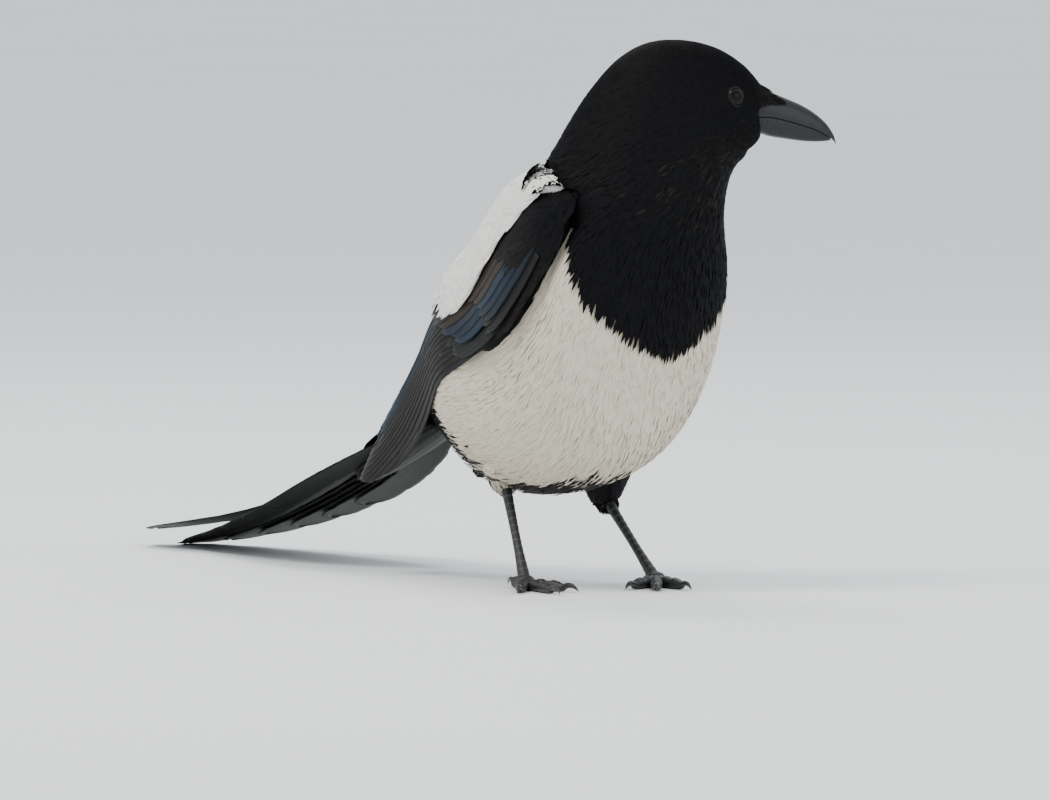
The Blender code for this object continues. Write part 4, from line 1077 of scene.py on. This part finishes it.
def make_lesser_coverts(rng, name, place, trunk, material, under_white):
    """The smallest feathers of the wing, over its arm, and the breast's side feathers over its front."""
    arm = arm_top(place)
    steps = np.linspace(-0.02, 1.02, 40)
    front = arm(np.full(40, 0.01), steps)
    ahead = unit(arm(np.full(40, 0.0), steps) - arm(np.full(40, 0.08), steps))
    body = []
    for point in front + ahead * 0.0075:
        near, normal, _, _ = trunk.find_nearest(Vector(point))
        body.append(np.array(near) + np.array(normal) * 0.0004)
    body = np.array(body)

    def face(a, b):
        a, b = np.broadcast_arrays(np.asarray(a, float), np.asarray(b, float))
        start = spline(body, np.clip((b + 0.02) / 1.04, 0, 1) * 39)
        end = arm(np.full(a.shape, 0.03), b)
        share = np.clip((a + 0.09) / 0.12, 0, 1)[..., None]
        rise = 0.0022 * (share * (1 - share) * 4)
        out = unit(place(0 * a + 0.03, b, 0 * a + 0.001) - place(0 * a + 0.03, b, 0 * a))
        bridge = start * (1 - share) + end * share + out * rise
        return np.where((a < 0.03)[..., None], bridge, arm(np.maximum(a, 0.03), b))

    a, b = spread(rng, face, (-0.085, 0.34), (0.0, 1.0), ARM_TUFTS)
    free = ~under_white(np.maximum(a, 0.0), b + 0.02) & ~under_white(np.maximum(a, 0.0), b - 0.04)
    free &= ~((a < 0.02) & (b < 0.30))
    a, b = a[free], b[free]
    count = len(a)
    length = rng.uniform(0.008, 0.012, count)
    outward = outward_of(face, 0.2, 0.6, out_from(place, 0.2, 0.6))
    made = tufts(rng, face, a, b, 1, length, rng.uniform(0.0008, 0.0014, count),
                 rng.uniform(0.0004, 0.0010, count), 0.0003, outward=outward,
                 uv=(a * 1.5 + 0.2, b * 0.9 + 0.05))
    wash = 0.25 * ramp(a, 0.05, 0.25) * rng.uniform(0.5, 1.0, count)
    coat_piece("lesser_coverts_" + name, made, wash, material)


def make_wing_core(name, place, material, trunk):
    """The wing's arm and hand, which hug the body under the feathers."""
    along, across = grid_of(np.linspace(0, CORE_END, 30), np.linspace(0.02, 0.98, 24))
    low = place(along, across, 0 * along)
    inward = unit(low - place(along, across, 0.001 + 0 * along))
    flat, ways = low.reshape(-1, 3), inward.reshape(-1, 3)
    away = reach_of(trunk, flat, ways, 0.013)
    move = np.where(away < 0.013, away + 0.0008, 0.0) * (1 - ramp(away, 0.0065, 0.013))
    low = (flat + ways * move[:, None]).reshape(low.shape)
    points, faces = sheet(low, arm_top(place)(along, across) - 0.0002)
    dress(build("wing_arm_" + name, points, faces, plain_values(points, 0.3)), material)


# Shoulder feathers and the back.

def smoothed(grid):
    """Each place of a grid as the mean of its four neighbours."""
    padded = np.pad(grid, 1, mode="edge")
    return (padded[2:, 1:-1] + padded[:-2, 1:-1] + padded[1:-1, 2:] + padded[1:-1, :-2]) / 4


def height_map(tree, place):
    """How high the tree stands above a wing's surface, and where it does."""
    reach = 0.03
    rows, columns = np.linspace(-0.05, 0.70, 76), np.linspace(-0.12, 0.75, 61)
    along, across = grid_of(rows, columns)
    start, end = place(along, across, reach + 0 * along), place(along, across, -0.004 + 0 * along)
    ways = unit(end - start)
    away = reach_of(tree, start.reshape(-1, 3), ways.reshape(-1, 3), reach + 0.004).reshape(along.shape)
    found = away <= reach + 0.004
    height = np.where(found, reach - away, 0.0)
    for _ in range(300):
        height = np.where(found, height, smoothed(height))
    for _ in range(24):
        height = 0.5 * height + 0.5 * smoothed(height)

    def place_in(line, value):
        return np.clip((value - line[0]) / (line[-1] - line[0]) * (len(line) - 1), 0, len(line) - 1.001)

    def read(grid, along, across):
        i, j = place_in(rows, along), place_in(columns, across)
        p, q = i.astype(int), j.astype(int)
        near = between(grid[p, q], grid[p + 1, q], i - p)
        return between(near, between(grid[p, q + 1], grid[p + 1, q + 1], i - p), j - q)

    return lambda a, b: read(height, a, b), lambda a, b: read(found.astype(float), a, b) > 0.5


def make_scapulars(rng, name, place, material, over, inside):
    """The white feathers of the shoulder, in soft tufts over a closed form."""

    def height(a, b):
        return over(a, b) + 0.0016 * (1 - ramp(a, 0.02, 0.16))

    def face(a, b):
        return place(a, b, height(a, b) + 0.0009)

    def near(a, b, lower):
        return inside(a, b) | inside(a, b - lower)

    a, b = spread(rng, face, (-0.04, 0.50), (-0.08, 0.58), SHOULDER_TUFTS)
    length = between(0.009, 0.018, ramp(a, 0.0, 0.25)) * rng.uniform(0.8, 1.2, len(a))
    run = np.linalg.norm(slopes(face, a, b)[0], axis=-1)
    keep = near(a, b, 0.06) & near(a + 0.4 * length / run, b, 0.06)
    a, b, length = a[keep], b[keep], length[keep]
    half = rng.uniform(0.0011, 0.0020, len(a))
    lift = rng.uniform(0.0001, 0.0007, len(a))
    outward = outward_of(face, 0.2, 0.2, out_from(place, 0.2, 0.2))
    made = tufts(rng, face, a, b, 1, length, half, lift, 0.0008, sway=0.07, outward=outward,
                 uv=(a * 0.9 + 0.2, b * 0.9 + 0.2))
    coat_piece("scapular_feathers_" + name, made, np.zeros(len(a)), material,
               ["scapulars_" + name])
    rows, columns = grid_of(np.linspace(0.0, 0.44, 60), np.linspace(-0.02, 0.46, 44))
    high = height(rows, columns)
    top = place(rows, columns, np.where(near(rows, columns, 0.05), high + 0.0005, high - 0.0035))
    points, faces = sheet(place(rows, columns, high - 0.0045), top)
    bed = build("scapular_bed_" + name, points, faces, plain_values(points, 0.4))
    dress(bed, material)


def cape_of(places):
    """The back between the wings as a surface: its places run from nape to rump and from right to left."""
    left, right = places
    along = np.linspace(*MANTLE_ALONG, 24)
    columns = np.linspace(-1, 1, 17)
    edge_left = left(along, -0.04 + 0 * along, 0.0025 + 0 * along)
    edge_right = right(along, -0.04 + 0 * along, 0.0025 + 0 * along)
    back = np.linspace(*BACK_ROWS, len(along))
    rise = MANTLE_RISE + MANTLE_HUMP * ramp(back, 4.5, 6.0) * (1 - ramp(back, 6.4, 7.6))
    ridge = skin(back, 0 * back) + normal_of(skin, back, 0 * back) * rise[:, None]
    rows = []
    for a, b, top in zip(edge_right, edge_left, ridge):
        bend = 2 * top - (a + b) / 2
        share = ((columns + 1) / 2)[:, None]
        rows.append(a * (1 - share) ** 2 + bend * 2 * share * (1 - share) + b * share**2)
    flat = surface(np.array(rows), 1)

    def cape(a, b):
        return flat(a, (np.asarray(b) + 1) / 2, 0 * np.asarray(a))

    return cape


def make_back(rng, cape, material):
    """The black feathers of the back between the wings."""
    a, b = spread(rng, cape, (0.0, 0.94), (-0.88, 0.88), BACK_TUFTS)
    count = len(a)
    length = between(0.010, 0.017, a) * rng.uniform(0.8, 1.2, count)
    made = tufts(rng, cape, a, b, 1, length, rng.uniform(0.0010, 0.0018, count),
                 rng.uniform(0.0002, 0.0012, count), COAT_DEPTH + 0.0002,
                 outward=outward_of(cape, 0.5, 0.0, np.array([0, 1.0, 1.0])),
                 uv=(a * 0.9 + 0.05, (b + 1) * 0.45 + 0.05))
    wash = 0.5 * ramp(a, 0.72, 0.80) * (1 - ramp(a, 0.90, 0.96))
    coat_piece("coat_back", made, wash, material)


def make_thighs(rng, materials):
    """The small feathers of the thighs."""
    for name, kind in (("left", "black"), ("right", "white")):
        face = limb(name)
        a, b = spread(rng, face, (0.4, 2.9), (0, 2 * math.pi), THIGH_TUFTS)
        count = len(a)
        front, back = face(np.array([1.5, 1.5]), np.array([0.0, math.pi]))
        length = between(0.011, 0.0045, ramp(a, 0.8, 2.6)) * rng.uniform(0.8, 1.2, count)
        speed = np.linalg.norm(slopes(face, a, b)[0], axis=-1)
        length = np.minimum(length, np.maximum((3.25 - a) * speed, 0.002))
        half = between(0.0009, 0.00055, ramp(a, 0.8, 2.6)) * rng.uniform(0.8, 1.2, count)
        made = tufts(rng, face, a, b, 1, length, half, rng.uniform(0.0002, 0.0010, count), 0.0010,
                     outward=outward_of(face, 1.5, 0.0, front - back),
                     uv=(a / 3 * 0.9 + 0.05, b / (2 * math.pi) * 0.9 + 0.05))
        coat_piece("coat_thigh_" + name, made, 0.3 * ramp(a, 1.2, 2.8), materials[kind])


# The tail.

def tail_places():
    """The sheet that the tail's feathers lie on: metres from the root, metres across and a height."""
    angle = turns(AROUND)
    start = skin(0.0, angle).mean(0)
    count = 64
    length = TAIL_LENGTHS[0] + 0.004
    distance = np.linspace(0, length, count)
    pitch = TAIL_PITCH + (TAIL_TIP_PITCH - TAIL_PITCH) * distance / length
    step = distance[1]
    back = np.concatenate([[0], np.cumsum(np.cos(pitch[1:]) * step)])
    drop = np.concatenate([[0], np.cumsum(np.sin(pitch[1:]) * step)])
    heading = np.array([math.sin(TAIL_YAW), math.cos(TAIL_YAW), 0])
    sideways = np.array([math.cos(TAIL_YAW), -math.sin(TAIL_YAW), 0])
    line = start + back[:, None] * heading - drop[:, None] * np.array([0, 0, 1])
    points = line[:, None] + (0.05 * np.array([-1, 0, 1]))[None, :, None] * sideways
    flat = surface(points, 1)

    def place(along, across, height):
        return flat(np.asarray(along) / length, 0.5 + np.asarray(across) / 0.1, height)

    return place


def make_tail(rng, material, materials):
    """Twelve tail feathers, the middle pair on top, and the coverts over and under their roots."""
    place = tail_places()
    shares = np.linspace(0, 1, 34)
    gloss = 0.30 + 0.35 * ramp(shares, 0.1, 0.6) + 0.25 * ramp(shares, 0.72, 0.86)
    gloss = gloss - 0.35 * ramp(shares, 0.9, 0.99)
    parts = []
    for k, (reach, aside) in reversed(list(enumerate(zip(TAIL_LENGTHS, TAIL_SPREAD)))):
        for side in (-1, 1):
            along = reach * between(0.05, 1.0, shares)
            across = side * aside * (0.25 + 0.75 * ramp(along, 0.0, 0.10))
            low = -LAYER * (k + (k > 0 or side > 0)) + 0 * along
            if k == 0 and side < 0:
                across = across - STRAY_ASIDE * ramp(along, 0.12, 0.245)
                low = low + STRAY_RISE * ramp(along, 0.12, 0.245)
            full = TAIL_HALF if k else TOP_HALF
            half = full * np.minimum(between(0.30, 1.0, ramp(shares, 0.0, 0.5)),
                                     outline(shares, root=1.0, full=0.88, tip=0.12))
            part = feather(rng, place, along, across, half, low, 0.0, gloss + rng.normal(0, 0.03),
                           crown=0.0005, shaft=0.0004, thick=0.0003, under=0.1)
            part[0][:, 2] = np.maximum(part[0][:, 2], 0.0)
            parts.append(part)
    points, faces, values = joined(parts)
    dress(build("tail_feathers", points, faces, values), material, ["tail"])
    angle = turns(AROUND)
    base = [skin(0.0, angle)]
    for along, half, top, under in TAIL_ROOT:
        rise = (np.where(np.cos(angle) > 0, top, under) - 0.0008) * np.cos(angle) - 0.0015
        base.append(place(along + 0 * angle, (half - 0.0008) * np.sin(angle), rise))
    rows = spline(np.reshape(base, (len(base), -1)), np.linspace(0, len(base) - 1, 24))
    points, faces = loft(rows.reshape(24, AROUND, 3))
    dress(build("tail_root", points, faces, plain_values(points, 0.3)), materials["black"])
    parts = []
    shares = np.linspace(0, 1, 12)
    for count, length, root, tip, half in TAIL_COVERTS:
        for k in range(count):
            share = 2 * k / (count - 1) - 1
            along = between(0.012, length - 0.008 * share * share + rng.normal(0, 0.002), shares)
            across = 0.0095 * share * (0.75 + 0.25 * shares)
            low = between(root, tip, shares) - 0.0022 * share * share * np.sign(root)
            width = half * outline(shares, root=0.7, full=0.6)
            parts.append(feather(rng, place, along, across, width, low, 0.0004, 0.2 + rng.normal(0, 0.05),
                                 crown=0.0008 * np.sign(root), under=0.1))
    points, faces, values = joined(parts)
    dress(build("tail_coverts", points, faces, values), material)


# The head's own pieces.

def bill_rings(table, count, closed):
    """Half of the bill as rings along it, and how worn it is. The edge of the mouth is raised by closed."""
    rings, tones = [], []
    angle = np.linspace(0, math.pi, 33)
    arch = np.sin(angle) ** 0.72
    flat = np.linspace(-1, 1, 9)[1:-1]
    for k, (ahead, ridge, edge, half) in enumerate(spline(table, np.linspace(0, len(table) - 1, count))):
        edge = edge + closed
        left = np.concatenate([half * np.cos(angle) * (1 + 0.04 * np.sin(angle) ** 3), flat * half * 0.98])
        height = np.concatenate([edge + (ridge - edge) * arch, edge + 0 * flat])
        rings.append(turned(ahead + 0 * left, left, height, HEAD_YAW))
        worn = 0.10 + 0.45 * ramp(k / count, 0.80, 1.0) + 0.15 * (1 - arch) ** 4
        tones.append(np.concatenate([worn, 0.3 + 0 * flat]))
    return np.array(rings), np.array(tones)


def make_bill(material):
    """Both halves of the bill, which reach back into the head."""
    for name, table, closed in (("upper_bill", UPPER_BILL, 0.0), ("lower_bill", LOWER_BILL, 0.0005)):
        rings, tones = bill_rings(table, 56, closed)
        deeper = rings[0] - HEAD_WAY * 0.009
        rings = np.concatenate([deeper[None], rings])
        tones = np.concatenate([tones[:1], tones]).ravel()
        points, faces = loft(rings)
        tones = np.concatenate([tones, tones[:1], tones[-1:]])
        dress(build(name + "_horn", points, faces, {"tone": tones}), material, [name])


# The feathers of the muzzle lie forward over the bill's root. Each row has the top and the underside of the
# form that they lie on (ahead of the neck's axis, height) and its half width.
MUZZLE = (
    (0.0540, 0.2092, 0.0612, 0.1814, 0.0136),
    (0.0600, 0.2026, 0.0622, 0.1820, 0.0098),
    (0.0655, 0.1993, 0.0660, 0.1806, 0.0070),
    (0.0715, 0.1968, 0.0710, 0.1798, 0.0058),
    (0.0775, 0.1942, 0.0760, 0.1790, 0.0049),
)


def muzzle(a, b):
    """Points of the form over the bill's root: along its rows, and round from the top."""
    a, b = np.broadcast_arrays(np.asarray(a, float), np.asarray(b, float))
    row = spline(MUZZLE, a)
    up = np.cos(b)
    ahead = (row[..., 0] + row[..., 2]) / 2 + (row[..., 0] - row[..., 2]) / 2 * up
    height = (row[..., 1] + row[..., 3]) / 2 + (row[..., 1] - row[..., 3]) / 2 * up
    return turned(ahead, row[..., 4] * np.sin(b), height, HEAD_YAW)


def make_bristles(rng, material):
    """Fine bristles from the forehead, lores and chin, forward over the bill's root and the nostrils."""
    a, b = spread(rng, muzzle, (0.0, 2.5), (-math.pi, math.pi), BRISTLES)
    side = from_back(b)
    end = 1.05 + 0.75 * (1 - ramp(side, 0.0, 1.3)) + 1.7 * np.exp(-(((side - 0.85) / 0.33) ** 2))
    end = end - 1.2 * ramp(side, 1.35, 1.8) + rng.normal(0, 0.15, len(a))
    keep = a < end - 0.2
    a, b, end, count = a[keep], b[keep], end[keep], int(keep.sum())
    speed = np.linalg.norm(slopes(muzzle, a, b)[0], axis=-1)
    length = np.minimum(rng.uniform(0.0035, 0.0075, count), (end - a) * speed)
    top, under = muzzle(np.array([1.0, 1.0]), np.array([0.0, math.pi]))
    made = tufts(rng, muzzle, a, b, 1, length, rng.uniform(0.00016, 0.00032, count),
                 rng.uniform(0.0001, 0.0006, count), 0.0006,
                 outward=outward_of(muzzle, 1.0, 0.0, top - under), uv=(a * 0.3 + 0.1, b * 0.14 + 0.5))
    coat_piece("nostril_bristles", made, rng.random(count) ** 2 * 0.5, material)


def eye_axes(way):
    """Ahead and up, square to the way that an eye looks."""
    up = np.array([0, 0, 1.0]) - way * way[2]
    up = up / np.linalg.norm(up)
    ahead = np.cross(up, way)
    return ahead * np.sign(ahead @ HEAD_WAY), up


# The rim of the lids, from the ball outwards and back inside: its size as a share of the opening, how far it
# rises, and its tone.
LID_RIM = (
    (0.96, -0.00030, 0.0), (0.99, 0.00010, 0.35), (1.02, 0.00026, 0.5), (1.06, 0.00020, 0.25),
    (1.12, 0.0, 0.0), (1.25, -0.0003, 0.0), (1.45, -0.0010, 0.0), (1.35, -0.0018, 0.0), (1.1, -0.0010, 0.0),
)
LID_WIDE, LID_TALL = 0.0031, 0.0038


def make_eyes(eye, lid):
    """The eyeballs, and their lids: an oval rim, wide above and narrow below, that lies on the ball."""
    for name, (middle, way) in EYES.items():
        ahead, up = eye_axes(way)

        def beside(x, y, out):
            return middle + way * out[..., None] + ahead * x[..., None] + up * y[..., None]

        polar = np.linspace(0, math.pi, 33)[1:-1]
        turn = turns(48)
        ring = np.sin(polar)[:, None] * EYE_RADIUS
        out = np.cos(polar)[:, None] * EYE_RADIUS
        points, faces = loft(beside(ring * np.cos(turn), ring * np.sin(turn), out))
        tone = np.concatenate([np.repeat(np.clip(polar, 0, 1), 48), [0.0, 1.0]])
        dress(build("eyeball_" + name, points, faces, {"tone": tone}), eye, ["eye_" + name])
        turn = turns(64)
        wide = LID_WIDE * np.cos(turn) * (1 + 0.32 * np.minimum(np.sin(turn), 0))
        tall = LID_TALL * np.sin(turn) - 0.0001
        rings = []
        for grow, rise, _ in LID_RIM:
            x, y = wide * grow, tall * grow
            distance = np.sqrt(x**2 + y**2)
            ball = np.sqrt(np.maximum(EYE_RADIUS**2 - distance**2, 0.0))
            height = np.maximum(ball, EYE_SINK - 0.0002 - 0.3 * np.maximum(distance - 0.0042, 0)) + rise
            rings.append(beside(x, y, height))
        points = np.array(rings).reshape(-1, 3)
        faces = grid_faces(len(rings) + 1, 64, wrap=True) % len(points)
        faces = facing_out(points - points.mean(0), faces)
        tones = np.repeat([row[2] for row in LID_RIM], 64)
        dress(build("eyelids_" + name, points, faces, {"tone": tones}), lid)


# Legs.

def tube(centres, radii, sides, relief=None, floor=None):
    """A round form along a path, with relief as a share of its radius and a tone for the edges of scales."""
    centres = np.asarray(centres, float)
    along = unit(np.gradient(centres, axis=0))
    up = np.array([0, 0, 1.0]) if abs(along[:, 2]).max() < 0.95 else np.array([0, 1.0, 0])
    across = unit(np.cross(along, up))
    other = np.cross(across, along)
    angle = turns(sides)
    share = np.linspace(0, 1, len(centres))
    plain = 0 * share[:, None] * angle
    swell, tone = (plain, plain) if relief is None else relief(share[:, None], angle[None])
    size = np.asarray(radii)[:, None] * (1 + swell)
    rings = centres[:, None] + size[..., None] * (np.cos(angle)[None, :, None] * across[:, None]
                                                  + np.sin(angle)[None, :, None] * other[:, None])
    if floor is not None:
        rings[..., 2] = np.maximum(rings[..., 2], floor)
    points, faces = loft(rings)
    tone = np.concatenate([tone.ravel(), [0.0, 0.0]])
    return points, faces, {"tone": tone}


def scutes(count, facing, depth=0.09):
    """Overlapping plates on one side of a leg or toe, and fine scales on the rest."""
    def relief(share, angle):
        step = share * count
        saw = 1 - (step - np.floor(step))
        front = np.clip(np.cos(angle - facing) * 1.6 + 0.35, 0, 1)
        small = 0.5 + 0.5 * np.sin(share * count * 4 * math.pi) * np.sin(angle * 9)
        swell = front * depth * (saw - 0.5) + (1 - front) * 0.035 * small
        edge = front * np.clip((saw - 0.72) / 0.28, 0, 1) + (1 - front) * 0.4 * small
        return swell, edge
    return relief


def smooth_path(table, count):
    """Points on a smooth curve through a table's rows."""
    table = np.asarray(table, float)
    return spline(table, np.linspace(0, len(table) - 1, count))


def toe_way(name, turn):
    """The way that a toe points on the floor."""
    heading = -math.pi / 2 - FOOT_HEADING[name] - SIDES[name] * math.radians(turn)
    return np.array([math.cos(heading), math.sin(heading), 0])


# Along a toe and along a claw: share of its length, height and half width.
TOE = (
    (0.0, 0.0027, 0.0029), (0.28, 0.0021, 0.0022), (0.42, 0.0023, 0.00255), (0.60, 0.0021, 0.0020),
    (0.78, 0.0022, 0.00235), (1.0, 0.0018, 0.0015), (1.06, 0.0017, 0.0011),
)
CLAW = (
    (-0.06, 0.0018, 0.0011), (0.05, 0.0019, 0.0013), (0.30, 0.0027, 0.00115), (0.60, 0.0027, 0.0009),
    (0.85, 0.0017, 0.0005), (1.0, 0.0006, 0.0001),
)


def laid_path(start, forward, table, reach, count):
    """A path over the floor with its half widths, from a table of shares of its reach."""
    share, height, width = np.array(table).T
    centres = start + forward * (share[:, None] * reach)
    centres[:, 2] = height
    return smooth_path(np.concatenate([centres, width[:, None]], 1), count)


def pad_of(ball):
    """The round pad under a foot, flat on the floor."""
    turn = np.linspace(0, math.pi, 20)[1:-1, None]
    about = turns(24)
    wide, height = 0.0042 * np.sin(turn), 0.0036 * np.cos(turn) + 0 * about
    rings = np.stack([wide * np.cos(about), wide * np.sin(about), height], -1) + ball
    rings[..., 2] = np.maximum(rings[..., 2], 0)
    points, faces = loft(rings)
    return points, faces, {"tone": np.full(len(points), 0.2)}


def make_legs(leg, claw):
    """The scaled legs and feet, and the claws."""
    for name in SIDES:
        ankle, ball = np.array(ANKLE[name]), np.array([*BALL[name], BALL_HEIGHT])
        down = unit(ball - ankle)
        top = ankle + down * (THIGH_LOBE[name] - 0.006)
        shank = [top, between(top, ball, 0.33), between(top, ball, 0.66), ball - down * 0.001]
        radii = smooth_path([[0.0023], [0.00185], [0.0018], [0.0026]], 150)[:, 0]
        parts = [tube(smooth_path(shank, 150), radii, 28, scutes(15, math.pi / 2))]
        middle = np.array([*BALL[name], 0])
        for turn, reach, _ in TOES:
            rows = laid_path(middle, toe_way(name, turn), TOE, reach, 90)
            parts.append(tube(rows[:, :3], rows[:, 3], 24, scutes(11, math.pi / 2, 0.12), floor=0.0))
        parts.append(pad_of(ball))
        points, faces, values = joined(parts)
        replaced = ["tarsus_" + name, "foot_" + name]
        dress(build("leg_" + name, points, faces, values), leg, replaced)
        for number, (turn, reach, nail) in enumerate(TOES, 1):
            forward = toe_way(name, turn)
            rows = laid_path(middle + forward * reach, forward, CLAW, nail, 40)
            points, faces, _ = tube(rows[:, :3], rows[:, 3], 20)
            talon = build(f"talon_{name}_{number}", points, faces)
            dress(talon, claw, [f"claw_{name}_{number}"])


# The camera, floor and lights.

CAMERA_TURN, CAMERA_RISE = math.radians(-35), math.radians(3)
LENS, SENSOR, FRAME_WIDTH = 400.0, 36.0, 0.420
LOOK_ASIDE, LOOK_HEIGHT = -0.026, 0.0755
FLOOR_HALF = 30.0
# Each light: how far it is from the bird along the sight, to the right and up, its size, power and colour.
LIGHTS = {
    "key": ((-0.7, -0.9, 2.0), 0.9, 26.0, (1.0, 0.96, 0.90)),
    "fill": ((-1.5, 1.3, 0.9), 1.6, 10.0, (0.96, 0.97, 1.0)),
    "rim": ((1.2, -0.2, 1.6), 0.8, 14.0, (1.0, 0.99, 0.97)),
}


def make_camera():
    """The camera, with the way it looks, its right and the point that it looks at."""
    sight = np.array([-math.sin(CAMERA_TURN), math.cos(CAMERA_TURN), 0.0])
    right = np.array([math.cos(CAMERA_TURN), math.sin(CAMERA_TURN), 0.0])
    target = SHIFT + right * LOOK_ASIDE + np.array([0, 0, LOOK_HEIGHT])
    level = math.cos(CAMERA_RISE)
    back = np.array([-sight[0] * level, -sight[1] * level, math.sin(CAMERA_RISE)])
    data = bpy.data.cameras.new("camera")
    data.lens = LENS
    data.sensor_width = SENSOR
    camera = bpy.data.objects.new("camera", data)
    bpy.context.scene.collection.objects.link(camera)
    camera.location = Vector(target + back * FRAME_WIDTH * LENS / SENSOR)
    camera.rotation_mode = "QUATERNION"
    camera.rotation_quaternion = Vector(-back).to_track_quat("-Z", "Y")
    data.clip_start, data.clip_end = 0.1, 100
    bpy.context.scene.camera = camera
    return sight, right, target


def make_light(name, place, target, size, power, colour):
    """A soft round light that faces its target."""
    data = bpy.data.lights.new(name, "AREA")
    data.shape = "DISK"
    data.size = size
    data.energy = power
    data.color = colour
    light = bpy.data.objects.new(name, data)
    bpy.context.scene.collection.objects.link(light)
    light.location = Vector(place)
    light.rotation_mode = "QUATERNION"
    light.rotation_quaternion = (Vector(target) - Vector(place)).to_track_quat("-Z", "Y")


def make_stage():
    """The camera, three soft lights, an even sky and a plain pale floor."""
    sight, right, target = make_camera()
    up = np.array([0, 0, 1.0])
    centre = target + up * 0.03
    for name, ((away, aside, above), size, power, colour) in LIGHTS.items():
        make_light(name, centre + sight * away + right * aside + up * above, centre, size, power, colour)
    world = bpy.data.worlds.new("studio")
    world.use_nodes = True
    sky = world.node_tree.nodes["Background"]
    sky.inputs["Color"].default_value = (0.92, 0.965, 1.0, 1)
    sky.inputs["Strength"].default_value = 1.1
    bpy.context.scene.world = world
    corners = np.array([[-1, -1, 0], [1, -1, 0], [1, 1, 0], [-1, 1, 0]], float) * FLOOR_HALF
    floor = build("floor", corners - SHIFT, np.array([[0, 1, 2], [0, 2, 3]]))
    floor.data.materials.append(floor_material())


def main():
    """Makes every piece. All random draws come from one seed, in this order."""
    rng = np.random.default_rng(SEED)
    materials = {name: coat_material(name + "_feathers", *looks) for name, looks in COATS.items()}
    for name, looks in SKINS.items():
        materials[name] = skin_material(name, *looks)
    black = materials["black"]
    trunk = trunk_tree()
    wings = {name: wing_surface(trunk, name) for name in SIDES}
    cape = cape_of((wings["left"], wings["right"]))
    make_skin(materials, cape)
    body_coat(rng, materials)
    make_back(rng, cape, black)
    make_thighs(rng, materials)
    flight = wing_material()
    for name, place in wings.items():
        make_wing(rng, name, place, flight)
        make_wing_core(name, place, black, trunk)
        over, inside = height_map(tree_of("scapulars_" + name), place)
        make_lesser_coverts(rng, name, place, trunk, black, inside)
        make_scapulars(rng, name, place, materials["shoulder"], over, inside)
    make_tail(rng, tail_material(), materials)
    make_bill(bill_material())
    make_bristles(rng, black)
    make_eyes(eye_material(), lid_material())
    make_legs(leg_material(), claw_material())
    make_stage()


main()
